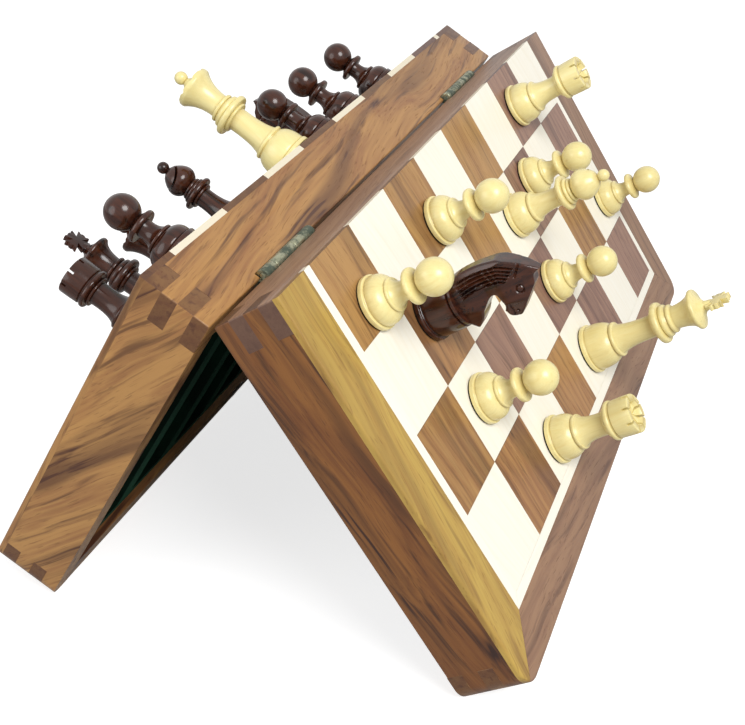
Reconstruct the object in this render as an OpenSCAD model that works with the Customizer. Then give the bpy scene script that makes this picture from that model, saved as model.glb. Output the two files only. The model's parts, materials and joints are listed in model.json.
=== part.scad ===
// Travelling chess box: two shallow wooden trays hinged mouth to mouth. Their closed faces carry
// the two halves of the board, so the box opens flat into a full board. It is drawn as a tent,
// standing on the free edges of both trays, with the magnetic men where they sit on the board.
// A leaf is drawn lying down first: X runs from the hinge side to the free side, Y along the
// hinge, and Z from the rim of the tray up to the playing surface.

/* [Board] */
// Side of one square
square = 27; // [20:1:34]
// Width of the pale line round the squares
stripe_w = 3.4; // [2:0.2:5]
// Width of the wooden border outside the line
border_w = 15.6; // [12:0.2:22]
// Thickness of the squares, line and border
deck_t = 2; // [1.5:0.1:3]

/* [Trays] */
// Thickness of the tray walls
wall_t = 10; // [8:0.5:12]
// Height of the tray walls, without the deck
wall_h = 20; // [18:0.5:28]
// Fingers in each corner joint
fingers = 4; // [4:2:8]
// Radius of the upright corners on the free side
corner_r = 6; // [3:0.5:9]
// Rounding of the deck's outer top edge
edge_r = 0.8; // [0.4:0.1:1.2]
// Thickness of the plywood under the deck
panel_t = 3.5; // [3:0.1:5]
// Depth of the rebate that carries the plywood
rebate = 3; // [2:0.5:4]
// Thickness of the steel sheet that the magnets pull on
steel_t = 0.5; // [0.3:0.1:0.8]

/* [Insert] */
// Slots in each insert
slots = 8; // [6:1:9]
// Width of a slot
slot_w = 20; // [14:0.5:21]
// Wall left at the two ends of a slot
slot_end = 3.5; // [3:0.5:8]
// Distance from the rim down to the insert
insert_drop = 2.5; // [2:0.5:5]
// Cloth left under a slot
insert_floor = 0.5; // [0.4:0.1:1.5]

/* [Hinges] */
// Angle between the two leaves as drawn
opening = 64; // [50:1:110]
// Length of a hinge
hinge_l = 32; // [25:1:40]
// Width of the hinge plate on the rim
plate_w = 8; // [6:0.5:8]
// Thickness of the hinge plate
plate_t = 1; // [0.8:0.1:1.4]
// Outer radius of the knuckles
knuckle_r = 2; // [1.8:0.1:2.4]
// Radius of the hinge pin
pin_r = 1; // [0.8:0.1:1.1]
// Knuckles in a hinge
knuckles = 5; // [3:2:7]
// Distance of a hinge's middle from the middle of the board
hinge_y = 81; // [60:1:85]

/* [Catch] */
// Radius of the catch magnets
catch_r = 4; // [3:0.25:4.5]
// Height of the catch magnets
catch_t = 3; // [2:0.5:5]
// How far they stand above the rim
catch_proud = 0.2; // [0:0.05:0.25]

/* [Men] */
// Height of a pawn
pawn_h = 25.5; // [18:0.5:30]
// Height of a king
king_h = 53; // [38:0.5:58]
// Radius of a king's base
king_r = 8.8; // [7:0.1:11]
// Thickness of the felt under a man
felt_t = 0.6; // [0.4:0.1:1]

/* [Hidden] */
$fn = 48;

// The men on the board: name, kind, leaf, then its place in squares, along the hinge from the
// near end of the squares and away from the hinge edge
MEN = [
  ["light_rook_a", "rook", "right", 6.44, 0.54],
  ["light_rook_b", "rook", "right", 2.43, 3.65],
  ["light_bishop", "bishop", "right", 4.58, 1.50],
  ["light_king", "king", "right", 4.56, 3.56],
  ["light_pawn_a", "pawn", "right", 0.60, 0.76],
  ["light_pawn_b", "pawn", "right", 2.68, 0.73],
  ["light_pawn_c", "pawn", "right", 5.58, 1.36],
  ["light_pawn_d", "pawn", "right", 7.66, 2.56],
  ["light_pawn_e", "pawn", "right", 4.57, 2.50],
  ["light_pawn_f", "pawn", "right", 1.46, 2.46],
  ["dark_knight_a", "knight", "right", 1.44, 1.29],
  ["light_queen", "queen", "left", 3.24, 0.36],
  ["dark_pawn_a", "pawn", "left", 6.20, 0.34],
  ["dark_pawn_b", "pawn", "left", 4.98, 0.34],
  ["dark_pawn_c", "pawn", "left", 4.04, 0.36],
  ["dark_pawn_d", "pawn", "left", 0.40, 0.36],
  ["dark_knight_b", "knight", "left", 5.70, 1.36],
  ["dark_bishop", "bishop", "left", 2.86, 1.32],
  ["dark_rook", "rook", "left", 0.74, 1.74],
  ["dark_king", "king", "left", 2.62, 2.90],
  ["dark_queen", "queen", "left", 3.84, 3.20]];

// Each kind of man: height and base radius
function kind_h(k) =
  k == "pawn" ? pawn_h : k == "rook" ? 0.545 * king_h : k == "knight" ? 0.725 * king_h
  : k == "bishop" ? 0.7 * king_h : k == "queen" ? 0.91 * king_h : king_h;
function kind_r(k) =
  king_r * (k == "king" ? 1 : k == "queen" ? 0.98 : k == "knight" ? 0.96 : k == "pawn" ? 0.9 : 0.91);

rows = 4;
cols = 8;
leaf_w = rows * square + stripe_w + border_w;
leaf_l = cols * square + 2 * (stripe_w + border_w);
squares_w = rows * square;
squares_l = cols * square;
leaf_t = wall_h + deck_t;
finger_h = wall_h / fingers;

// The hinge line lies outside the hinge wall and in front of the rim, by these two clearances
axis_back = 0.6;
axis_rim = 0.3;
// Glue line left between glued pieces of one group
glue = 0.05;
pin_play = 0.05;
knuckle_gap = 0.2;
knuckle_play = 0.35;
knuckle_l = hinge_l / knuckles;
panel_play = 0.15;
insert_play = 0.3;
catch_inset = wall_t / 2;
screw_r = 1;
screw_head_r = 1.9;
screw_l = 8;
screw_x = 0.6 * plate_w;
screw_y = 0.3 * hinge_l;
slot_depth = wall_h - panel_t - insert_drop - insert_floor;
magnet_r = 0.43 * king_r;
magnet_t = 2;

half = opening / 2;
axis_z = (leaf_w + axis_back) * cos(half) - axis_rim * sin(half);

// How far a leaf's men reach out from the hinge line, which sets the middle of the whole
ball_r = 2.2;
cross_t = 2;
function top_reach(k) =
  k == "king" ? kind_h(k) * cos(half) + cross_t / 2 * sin(half)
  : k == "queen" ? (kind_h(k) - ball_r) * cos(half) + ball_r : 0;
function man_reach(m) =
  (axis_back + m[4] * square) * sin(half) + (axis_rim + leaf_t) * cos(half) + top_reach(m[1]);
function reach(side) = max([for (m = MEN) if (m[2] == side) man_reach(m)]);
middle_x = (reach("right") - reach("left")) / 2;

function bezier(a, c, b, n = 6) =
  [for (i = [0 : n]) let (t = i / n) (1 - t) * (1 - t) * a + 2 * t * (1 - t) * c + t * t * b];
// A turned bead, seen as the half profile of a ring
function bead(r, z, t) =
  [[r - 0.45 * t, z], [r, z + 0.3 * t], [r, z + 0.7 * t], [r - 0.45 * t, z + t]];
// The foot that every man has: a flat disc and a groove, then a bell that ends at radius top_r
// and height top_z
foot_z = felt_t + glue;
function foot(r, top_r, top_z) = concat(
  [[0, foot_z], [r - 0.3, foot_z], [r, foot_z + 0.3], [r, foot_z + 1.3], [r - 0.8, foot_z + 1.6]],
  bezier([r - 0.6, foot_z + 2], [0.95 * r, 0.8 * top_z], [top_r, top_z], 8));

// Moves a leaf from its drawn place, lying on its rim, to its place in the tent
module in_leaf(side) {
  translate([-middle_x, 0, axis_z])
    if (side == "left")
      mirror([1, 0, 0]) rotate([0, 90 - half, 0]) translate([axis_back, 0, axis_rim]) children();
    else
      rotate([0, 90 - half, 0]) translate([axis_back, 0, axis_rim]) children();
}

// Outline of a leaf, with its two free corners rounded
module outline() {
  translate([0, -leaf_l / 2]) square([leaf_w - corner_r, leaf_l]);
  translate([0, corner_r - leaf_l / 2]) square([leaf_w, leaf_l - 2 * corner_r]);
  for (y = [-1, 1])
    translate([leaf_w - corner_r, y * (leaf_l / 2 - corner_r)]) circle(corner_r);
}

// The room for the plywood panel, cut out of every wall
module panel_room(play) {
  translate([wall_t - rebate - play, wall_t - rebate - play - leaf_l / 2, wall_h - panel_t])
    cube([leaf_w - 2 * (wall_t - rebate - play), leaf_l - 2 * (wall_t - rebate - play), panel_t + 1]);
}

// The corner blocks that belong to the hinge wall or to the free wall at levels of one parity
module corner_blocks(x, parity) {
  for (i = [0 : fingers - 1], y = [-leaf_l / 2 - 1, leaf_l / 2 - wall_t])
    if (i % 2 == parity)
      translate([x, y, i * finger_h]) cube([wall_t + 1, wall_t + 1, finger_h]);
}

// The right leaf's hinge wall has the second and fourth fingers up from the rim, the left one's
// the first and third, and each free wall takes the other ones
function hinge_parity(side) = side == "right" ? 1 : 0;

module hinge_cuts() {
  for (y = [-1, 1]) translate([0, y * hinge_y, 0]) {
    translate([-axis_back, hinge_l / 2 + knuckle_gap, -axis_rim]) rotate([90, 0, 0])
      cylinder(r = knuckle_r + knuckle_play, h = hinge_l + 2 * knuckle_gap);
    translate([-1, -hinge_l / 2 - knuckle_gap, -1])
      cube([plate_w + 1, hinge_l + 2 * knuckle_gap, plate_t + 1]);
    for (s = [-1, 1]) translate([screw_x, s * screw_y, 0]) cylinder(r = screw_r, h = screw_l);
  }
}

module hinge_wall(side) {
  color("peru") difference() {
    translate([0, -leaf_l / 2, 0]) cube([wall_t, leaf_l, wall_h]);
    translate([-1, 0, 0]) corner_blocks(0, 1 - hinge_parity(side));
    panel_room(0);
    hinge_cuts();
  }
}

module free_wall(side) {
  color("peru") difference() {
    intersection() {
      translate([leaf_w - wall_t, -leaf_l / 2, 0]) cube([wall_t, leaf_l, wall_h]);
      linear_extrude(wall_h) outline();
    }
    corner_blocks(leaf_w - wall_t, hinge_parity(side));
    panel_room(0);
    translate([leaf_w - catch_inset, 0, -1]) cylinder(r = catch_r, h = catch_t - catch_proud + 1);
  }
}

module end_wall(side, end) {
  color("peru") difference() {
    intersection() {
      translate([0, end == "near" ? -leaf_l / 2 : leaf_l / 2 - wall_t, 0])
        cube([leaf_w, wall_t, wall_h]);
      linear_extrude(wall_h) outline();
    }
    translate([-1, 0, 0]) corner_blocks(0, hinge_parity(side));
    corner_blocks(leaf_w - wall_t, 1 - hinge_parity(side));
    panel_room(0);
  }
}

module deck_panel() {
  color("burlywood") difference() {
    intersection() {
      panel_room(-panel_play);
      cube([2 * leaf_w, 2 * leaf_l, 2 * wall_h], center = true);
    }
    steel_room(0);
  }
}

// The recess for the steel sheet, under the squares and inside the hinge wall
module steel_room(play) {
  translate([wall_t + play, play - squares_l / 2, wall_h - steel_t])
    cube([squares_w - wall_t - 2 * play, squares_l - 2 * play, steel_t + (play > 0 ? 0 : 1)]);
}

module steel_sheet() {
  color("silver") steel_room(0.2);
}

module squares(side, tone) {
  first_dark = side == "right" ? 0 : 1;
  color(tone == "light" ? "cornsilk" : "sienna")
    for (i = [0 : cols - 1], j = [0 : rows - 1])
      if (((i + j) % 2 == first_dark) == (tone == "dark"))
        translate([j * square, i * square - squares_l / 2, wall_h]) cube([square, square, deck_t]);
}

// One mitred strip round the squares: its inner and outer distance from them, and its side
module strip(inner, outer, place) {
  x0 = squares_w + inner;
  x1 = squares_w + outer;
  y0 = squares_l / 2 + inner;
  y1 = squares_l / 2 + outer;
  if (place == "free")
    polygon([[x0, -y0], [x1, -y1], [x1, y1], [x0, y0]]);
  else
    mirror([0, place == "far" ? 1 : 0, 0])
      polygon([[0, -y0], [0, -y1], [x1, -y1], [x0, -y0]]);
}

// The saw line of the two mitres, which runs out from the corners of the squares
module mitre_cuts() {
  for (m = [0, 1]) mirror([0, m, 0]) translate([squares_w, squares_l / 2]) rotate(45)
    translate([-1, -glue / 2]) square([2 * leaf_w, glue]);
}

module inlay_line() {
  color("ivory") for (place = ["near", "free", "far"])
    translate([0, 0, wall_h]) linear_extrude(deck_t) difference() {
      strip(0, stripe_w, place);
      mitre_cuts();
    }
}

// Section of the deck's edge, outward along X, with its top corner rounded
module edge_section(depth) {
  translate([-depth, 0]) square([depth - edge_r, deck_t]);
  translate([-edge_r, 0]) square([edge_r, deck_t - edge_r]);
  translate([-edge_r, deck_t - edge_r]) circle(edge_r, $fn = 24);
}

// The border before it is cut into strips: straight runs and two rounded corners
module border_blank() {
  run = border_w + 1;
  translate([leaf_w, leaf_l / 2 - corner_r, 0]) rotate([90, 0, 0])
    linear_extrude(leaf_l - 2 * corner_r) edge_section(run);
  for (m = [0, 1]) mirror([0, m, 0]) {
    translate([0, leaf_l / 2, 0]) rotate([90, 0, 90])
      linear_extrude(leaf_w - corner_r) edge_section(run);
    translate([leaf_w - corner_r, leaf_l / 2 - corner_r, 0])
      rotate_extrude(angle = 90) intersection() {
        translate([corner_r, 0]) edge_section(corner_r);
        square([corner_r, deck_t]);
      }
  }
}

module border() {
  color("goldenrod") for (place = ["near", "free", "far"])
    translate([0, 0, wall_h]) intersection() {
      border_blank();
      translate([0, 0, -1]) linear_extrude(deck_t + 2) difference() {
        strip(stripe_w, stripe_w + border_w, place);
        mitre_cuts();
      }
    }
}

// Cloth-covered foam that fills the tray, with a row of slots that each take two men
module insert() {
  x0 = wall_t + insert_play;
  w = leaf_w - 2 * x0;
  l = leaf_l - 2 * x0;
  pitch = l / slots;
  color("darkgreen") difference() {
    translate([x0, -l / 2, insert_drop]) cube([w, l, wall_h - panel_t - insert_drop]);
    for (i = [0 : slots - 1])
      translate([x0 + slot_end, (i + 0.5) * pitch - l / 2 - slot_w / 2, insert_drop - 1])
        cube([w - 2 * slot_end, slot_w, slot_depth + 1]);
  }
}

module catch_magnet() {
  color("silver") translate([leaf_w - catch_inset, 0, -catch_proud])
    cylinder(r = catch_r, h = catch_t);
}

// One plate of a hinge with its share of the knuckles, drawn about the hinge's middle
module hinge_plate(side, y) {
  first = side == "right" ? 0 : 1;
  color("darkseagreen") translate([0, y, 0]) difference() {
    union() {
      translate([0, -hinge_l / 2, 0]) cube([plate_w, hinge_l, plate_t]);
      for (i = [0 : knuckles - 1]) if (i % 2 == first)
        on_axis(i) cylinder(r = knuckle_r, h = knuckle_l - knuckle_gap);
    }
    for (i = [0 : knuckles - 1]) if (i % 2 != first)
      on_axis(i) translate([0, 0, -knuckle_gap])
        cylinder(r = knuckle_r + knuckle_play, h = knuckle_l + knuckle_gap);
    translate([-axis_back, hinge_l / 2 + 1, -axis_rim]) rotate([90, 0, 0])
      cylinder(r = pin_r + pin_play, h = hinge_l + 2);
    for (s = [-1, 1]) translate([screw_x, s * screw_y, 0]) {
      translate([0, 0, -1]) cylinder(r = screw_r + 0.2, h = plate_t + 2);
      cylinder(r1 = screw_head_r + 0.1, r2 = screw_r + 0.2, h = plate_t);
    }
  }
}

// Puts a child that stands along Z on the hinge line, at the place of one knuckle
module on_axis(i) {
  translate([-axis_back, hinge_l / 2 - i * knuckle_l - knuckle_gap / 2, -axis_rim])
    rotate([90, 0, 0]) children();
}

module hinge_pin(y) {
  color("darkkhaki") translate([-axis_back, y + hinge_l / 2 - knuckle_gap / 2, -axis_rim])
    rotate([90, 0, 0]) cylinder(r = pin_r, h = hinge_l - knuckle_gap);
}

// Countersunk wood screws, one solid each
module hinge_screws() {
  head_t = plate_t - 0.1;
  color("darkkhaki") for (y = [-1, 1], s = [-1, 1])
    translate([screw_x, y * hinge_y + s * screw_y, 0]) difference() {
      rotate_extrude() polygon([[0, 0.1], [screw_head_r - 0.1, 0.1], [screw_r - 0.1, head_t],
        [screw_r - 0.1, screw_l - 1.5], [0, screw_l - 0.3]]);
      translate([0, 0, 0.1]) cube([2 * screw_head_r, 0.5, 0.6], center = true);
    }
}

// Turned bodies of the men. Heights are shares of the man's own height h, radii of its base r
module pawn_body(h, r) {
  head_r = 0.207 * h;
  rotate_extrude() polygon(concat(foot(r, 0.6 * r, 0.27 * h),
    bead(0.62 * r, 0.275 * h, 0.035 * h),
    bezier([0.52 * r, 0.315 * h], [0.3 * r, 0.38 * h], [0.36 * r, 0.5 * h]),
    bead(0.66 * r, 0.505 * h, 0.06 * h), [[0.36 * r, 0.58 * h], [0.3 * r, 0.64 * h], [0, 0.64 * h]]));
  translate([0, 0, h - head_r]) sphere(head_r);
}

module rook_body(h, r) {
  kerf = 0.09 * r;
  difference() {
    rotate_extrude() polygon(concat(foot(r, 0.66 * r, 0.295 * h),
      bead(0.72 * r, 0.3 * h, 0.04 * h),
      bezier([0.64 * r, 0.345 * h], [0.42 * r, 0.42 * h], [0.48 * r, 0.655 * h]),
      bead(0.62 * r, 0.66 * h, 0.03 * h), bead(0.8 * r, 0.7 * h, 0.05 * h),
      [[0.7 * r, 0.755 * h], [0.76 * r, 0.78 * h], [0.78 * r, 0.985 * h], [0.74 * r, h],
       [0.5 * r, h], [0.44 * r, 0.95 * h], [0, 0.93 * h]]));
    for (a = [0 : 45 : 135]) rotate([0, 0, a]) translate([0, 0, h])
      cube([2 * r, kerf, 0.14 * h], center = true);
  }
}

module bishop_body(h, r) {
  tip_r = 0.055 * h;
  difference() {
    rotate_extrude() polygon(concat(foot(r, 0.62 * r, 0.215 * h),
      bead(0.68 * r, 0.22 * h, 0.03 * h),
      bezier([0.58 * r, 0.255 * h], [0.38 * r, 0.34 * h], [0.42 * r, 0.5 * h]),
      bead(0.56 * r, 0.505 * h, 0.025 * h), bead(0.76 * r, 0.535 * h, 0.04 * h),
      bead(0.58 * r, 0.58 * h, 0.03 * h), bead(0.5 * r, 0.615 * h, 0.025 * h),
      bezier([0.38 * r, 0.645 * h], [0.96 * r, 0.73 * h], [0.36 * r, 0.87 * h], 10),
      [[0.16 * r, 0.91 * h], [0, 0.92 * h]]));
    translate([0.36 * r, 0, 0.8 * h]) rotate([0, 35, 0])
      cube([0.8 * r, 2 * r, 0.015 * h], center = true);
  }
  translate([0, 0, h - tip_r]) sphere(tip_r);
}

// The tall stem that king and queen share, with its four rings
function royal_stem(h, r) = concat(foot(r, 0.66 * r, 0.2 * h),
  bead(0.72 * r, 0.205 * h, 0.022 * h),
  bezier([0.62 * r, 0.23 * h], [0.42 * r, 0.3 * h], [0.46 * r, 0.485 * h]),
  bead(0.62 * r, 0.49 * h, 0.02 * h), bead(0.84 * r, 0.51 * h, 0.04 * h),
  bead(0.66 * r, 0.555 * h, 0.03 * h), bead(0.58 * r, 0.6 * h, 0.022 * h));

module queen_body(h, r) {
  coronet = 8;
  difference() {
    rotate_extrude() polygon(concat(royal_stem(h, r),
      bezier([0.46 * r, 0.63 * h], [0.44 * r, 0.75 * h], [0.8 * r, 0.83 * h]),
      [[0.8 * r, 0.86 * h], [0.66 * r, 0.865 * h], [0.6 * r, 0.85 * h]],
      bezier([0.5 * r, 0.865 * h], [0.3 * r, 0.885 * h], [0.16 * r, 0.92 * h], 4), [[0, 0.92 * h]]));
    for (i = [0 : coronet - 1]) rotate([0, 0, i * 360 / coronet])
      translate([0.82 * r, 0, 0.885 * h]) rotate([0, 90, 0])
        cylinder(r = 0.17 * r, h = 0.44 * r, center = true);
  }
  translate([0, 0, h - ball_r]) sphere(ball_r);
}

// The arms of the cross widen outwards, and each ends in two small bays
module king_body(h, r) {
  arm = 0.075 * h;
  rotate_extrude() polygon(concat(royal_stem(h, r),
    bezier([0.46 * r, 0.63 * h], [0.48 * r, 0.74 * h], [0.78 * r, 0.77 * h]),
    [[0.8 * r, 0.785 * h]],
    bezier([0.78 * r, 0.795 * h], [0.4 * r, 0.81 * h], [0.22 * r, 0.845 * h], 5),
    [[0, 0.845 * h]]));
  translate([0, 0, h - arm]) rotate([90, 0, 90]) linear_extrude(cross_t, center = true)
    difference() {
      union() {
        square(0.6 * arm, center = true);
        for (a = [0 : 90 : 270]) rotate(a)
          polygon([[0.24 * arm, 0.2 * arm], [0.6 * arm, arm], [-0.6 * arm, arm],
            [-0.24 * arm, 0.2 * arm]]);
      }
      for (a = [-90, 0, 90], s = [-1, 1]) rotate(a)
        translate([0.26 * s * arm, 1.04 * arm]) circle(0.14 * arm, $fn = 16);
    }
  translate([0, 0, 0.83 * h]) cylinder(r = 0.16 * r, h = 0.05 * h);
}

// The horse faces +X. Its outlines from the side, the front and above, in sizes for a knight
// 38 mm high, are cut into one another, and the mane and a line over the cheek are carved in
module knight_body(h, r) {
  k = h / 38;
  rotate_extrude() polygon(concat(foot(r, 0.9 * r, 0.28 * h),
    [[0.82 * r, 0.285 * h], [0.88 * r, 0.295 * h], [0.88 * r, 0.32 * h], [0, 0.32 * h]]));
  difference() {
    intersection() {
      rotate([90, 0, 0]) linear_extrude(16 * k, center = true) scale(k) polygon(concat(
        bezier([-6.2, 9.6], [-8.8, 16.5], [-7.8, 24.5], 6),
        bezier([-7.4, 27.6], [-4.6, 33.4], [0.2, 37.6], 6),
        bezier([0.5, 36.2], [0.8, 35.2], [2, 35], 4), bezier([3.2, 34.6], [6, 31.6], [9, 28.2], 5),
        bezier([10.2, 26.6], [10, 23.2], [8.2, 23.2], 5), bezier([7, 23], [5.6, 24.6], [4.4, 23.9], 4),
        bezier([1.8, 23.4], [0.8, 22], [2.8, 19.8], 4), bezier([4.8, 17.6], [7, 16.6], [9, 13.2], 5),
        [[6.8, 11.6], [6.2, 9.6]]));
      rotate([90, 0, 90]) linear_extrude(40 * k, center = true) scale(k) polygon(concat(
        bezier([5.4, 9], [4.8, 15], [3.8, 21], 5), bezier([3.8, 23], [4.1, 28], [3, 33], 5),
        bezier([2.6, 35], [1.8, 37], [1.2, 38.4], 3), bezier([-1.2, 38.4], [-1.8, 37], [-2.6, 35], 3),
        bezier([-3, 33], [-4.1, 28], [-3.8, 23], 5), bezier([-3.8, 21], [-4.8, 15], [-5.4, 9], 5)));
      linear_extrude(40 * k) scale(k) polygon(concat(
        bezier([10.8, -1.8], [6, -3.4], [1.5, -5.6], 5), bezier([-1, -6], [-6, -4.8], [-9.4, -1], 5),
        bezier([-9.4, 1], [-6, 4.8], [-1, 6], 5), bezier([1.5, 5.6], [6, 3.4], [10.8, 1.8], 5)));
    }
    for (s = [-1, 1], i = [0 : 4]) scale(k) rotate([4 * s, 0, 0]) translate([0, 7 * s, 0])
      rotate([90, 0, 0]) linear_extrude(5.2, center = true) polygon(concat(
        bezier([-5.6 + 1.1 * i, 14.5 + 0.6 * i], [-7.6 + 1.25 * i, 22], [-3.8 + 1.2 * i, 31.6 - 0.9 * i]),
        bezier([-3.2 + 1.2 * i, 31.3 - 0.9 * i], [-7 + 1.25 * i, 22], [-5.1 + 1.1 * i, 14.5 + 0.6 * i])));
    for (s = [-1, 1]) scale(k) translate([0, 5.6 * s, 0]) rotate([90, 0, 0]) {
      linear_extrude(5.2, center = true) polygon([[-4.6, 34], [-1.2, 30.8], [-0.9, 31.2], [-4.3, 34.4]]);
      linear_extrude(5.2, center = true) translate([2.8, 30.4]) difference() {
        circle(1.1, $fn = 24);
        circle(0.65, $fn = 24);
      }
    }
  }
}

module man(m) {
  h = kind_h(m[1]);
  r = kind_r(m[1]);
  pale = m[0][0] == "l";
  in_leaf(m[2]) translate([m[4] * square, (m[3] - cols / 2) * square, leaf_t]) {
    color("black") cylinder(r = r - 0.5, h = felt_t);
    color(pale ? "khaki" : "maroon") difference() {
      if (m[1] == "pawn") pawn_body(h, r);
      else if (m[1] == "rook") rook_body(h, r);
      else if (m[1] == "bishop") bishop_body(h, r);
      else if (m[1] == "queen") queen_body(h, r);
      else if (m[1] == "king") king_body(h, r);
      else knight_body(h, r);
      cylinder(r = magnet_r + glue, h = foot_z + magnet_t + glue);
    }
    color("silver") translate([0, 0, foot_z]) cylinder(r = magnet_r, h = magnet_t);
  }
}

for (side = ["right", "left"]) {
  for (end = ["near", "far"])
    in_leaf(side) end_wall(side, end);
  in_leaf(side) hinge_wall(side);
  in_leaf(side) free_wall(side);
  in_leaf(side) deck_panel();
  in_leaf(side) steel_sheet();
  for (tone = ["light", "dark"])
    in_leaf(side) squares(side, tone);
  in_leaf(side) inlay_line();
  in_leaf(side) border();
  in_leaf(side) insert();
  in_leaf(side) catch_magnet();
  in_leaf(side) hinge_screws();
  for (e = [["near", -1], ["far", 1]])
    in_leaf(side) hinge_plate(side, e[1] * hinge_y);
}
for (e = [["near", -1], ["far", 1]])
  in_leaf("right") hinge_pin(e[1] * hinge_y);
for (m = MEN) man(m);
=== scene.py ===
# %% [markdown]
# # A folding chess box, standing open as a tent
#
# Two shallow wooden trays are hinged mouth to mouth, and their closed faces carry the two halves
# of a chessboard. Here the box stands on the free edges of both trays, with magnetic men on it.
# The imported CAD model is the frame: every piece made below takes its size and place from it.

# %% Load the frame
import json
import math
import random

import bmesh
import bpy
from mathutils import Matrix, Vector


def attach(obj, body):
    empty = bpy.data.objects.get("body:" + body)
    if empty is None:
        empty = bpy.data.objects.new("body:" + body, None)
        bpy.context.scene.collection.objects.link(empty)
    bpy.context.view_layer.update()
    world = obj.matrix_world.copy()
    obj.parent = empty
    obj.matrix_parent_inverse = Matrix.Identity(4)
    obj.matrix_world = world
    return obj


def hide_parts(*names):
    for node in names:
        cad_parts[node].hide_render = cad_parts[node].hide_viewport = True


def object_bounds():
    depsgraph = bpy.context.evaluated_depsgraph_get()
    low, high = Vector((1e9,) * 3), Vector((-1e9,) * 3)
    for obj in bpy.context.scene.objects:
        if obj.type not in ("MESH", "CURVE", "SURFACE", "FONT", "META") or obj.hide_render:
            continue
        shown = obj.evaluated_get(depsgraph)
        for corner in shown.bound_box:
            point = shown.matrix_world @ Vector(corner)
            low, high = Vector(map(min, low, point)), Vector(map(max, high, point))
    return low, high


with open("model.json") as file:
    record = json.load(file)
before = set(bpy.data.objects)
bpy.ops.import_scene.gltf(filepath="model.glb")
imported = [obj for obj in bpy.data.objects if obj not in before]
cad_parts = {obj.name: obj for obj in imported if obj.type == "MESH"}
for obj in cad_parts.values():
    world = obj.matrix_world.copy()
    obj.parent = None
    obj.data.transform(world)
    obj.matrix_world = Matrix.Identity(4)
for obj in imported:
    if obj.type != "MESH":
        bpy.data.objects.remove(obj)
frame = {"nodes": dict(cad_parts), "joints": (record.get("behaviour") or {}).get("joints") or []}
cad_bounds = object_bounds()
mm = 0.001
print("pieces in the frame:", len(frame["nodes"]))

# %% [markdown]
# ## The camera and the studio
#
# The camera looks down at the near ends of both trays, a little from the right. A long lens keeps
# the far end from shrinking too much, as in a catalogue picture.

# %% Camera
camera_place = Vector((0.1316, -0.3614, 0.2503))
camera_aim = Vector((-0.0118, 0.0, 0.0270))
camera_lens = 58.4
camera_roll = math.radians(-1.68)

camera = bpy.data.objects.new("camera", bpy.data.cameras.new("camera"))
camera.data.lens = camera_lens
camera.data.sensor_width = 36
camera.data.clip_start = 0.01
camera.location = camera_place
looking = (camera_aim - camera_place).to_track_quat("-Z", "Y")
camera.rotation_euler = (looking.to_matrix() @ Matrix.Rotation(camera_roll, 3, "Z")).to_euler()
bpy.context.scene.collection.objects.link(camera)
bpy.context.scene.camera = camera

# %% [markdown]
# A sheet of white paper under the box keeps its soft shadow. Camera and mirror rays get a little
# extra white from the paper and from the world, which makes the background white with no more
# light on the wood.

# %% Paper, world and lamps
def white_world(strength):
    world = bpy.data.worlds.new("studio")
    world.use_nodes = True
    nodes, links = world.node_tree.nodes, world.node_tree.links
    nodes.clear()
    light_path = nodes.new("ShaderNodeLightPath")
    seen = nodes.new("ShaderNodeMath")
    seen.operation = "MAXIMUM"
    links.new(light_path.outputs["Is Camera Ray"], seen.inputs[0])
    links.new(light_path.outputs["Is Glossy Ray"], seen.inputs[1])
    also = nodes.new("ShaderNodeMath")
    also.operation = "MAXIMUM"
    links.new(seen.outputs[0], also.inputs[0])
    links.new(light_path.outputs["Is Transmission Ray"], also.inputs[1])
    level = nodes.new("ShaderNodeMapRange")
    level.inputs["To Min"].default_value = strength
    level.inputs["To Max"].default_value = 1.0
    links.new(also.outputs[0], level.inputs["Value"])
    background = nodes.new("ShaderNodeBackground")
    background.inputs["Color"].default_value = (1, 1, 1, 1)
    links.new(level.outputs["Result"], background.inputs["Strength"])
    output = nodes.new("ShaderNodeOutputWorld")
    links.new(background.outputs[0], output.inputs[0])
    return world


def paper_material(extra_white):
    material = bpy.data.materials.new("studio_paper")
    material.use_nodes = True
    nodes, links = material.node_tree.nodes, material.node_tree.links
    shader = nodes["Principled BSDF"]
    shader.inputs["Base Color"].default_value = (0.5, 0.5, 0.5, 1)
    shader.inputs["Roughness"].default_value = 0.9
    shader.inputs["Emission Color"].default_value = (1, 1, 1, 1)
    light_path = nodes.new("ShaderNodeLightPath")
    glow = nodes.new("ShaderNodeMath")
    glow.operation = "MULTIPLY"
    glow.inputs[1].default_value = extra_white
    links.new(light_path.outputs["Is Camera Ray"], glow.inputs[0])
    links.new(glow.outputs[0], shader.inputs["Emission Strength"])
    return material


def soft_lamp(name, place, aim, size, power):
    lamp = bpy.data.objects.new(name, bpy.data.lights.new(name, "AREA"))
    lamp.data.shape = "DISK"
    lamp.data.size = size
    lamp.data.energy = power
    lamp.location = place
    lamp.rotation_euler = (Vector(aim) - Vector(place)).to_track_quat("-Z", "Y").to_euler()
    bpy.context.scene.collection.objects.link(lamp)


bpy.context.scene.world = white_world(0.36)
paper_mesh = bmesh.new()
bmesh.ops.create_grid(paper_mesh, x_segments=1, y_segments=1, size=4.0)
paper_data = bpy.data.meshes.new("paper")
paper_mesh.to_mesh(paper_data)
paper_mesh.free()
paper = bpy.data.objects.new("paper", paper_data)
paper.location.z = cad_bounds[0][2] - 0.05 * mm
paper.data.materials.append(paper_material(0.75))
bpy.context.scene.collection.objects.link(paper)

middle = Vector((0, 0, 0.07))
soft_lamp("key", (0.75, -0.55, 0.95), middle, 0.7, 14.5)
soft_lamp("fill", (-0.7, -0.9, 0.55), middle, 0.9, 5.0)
bpy.context.scene.view_settings.view_transform = "Standard"

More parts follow.
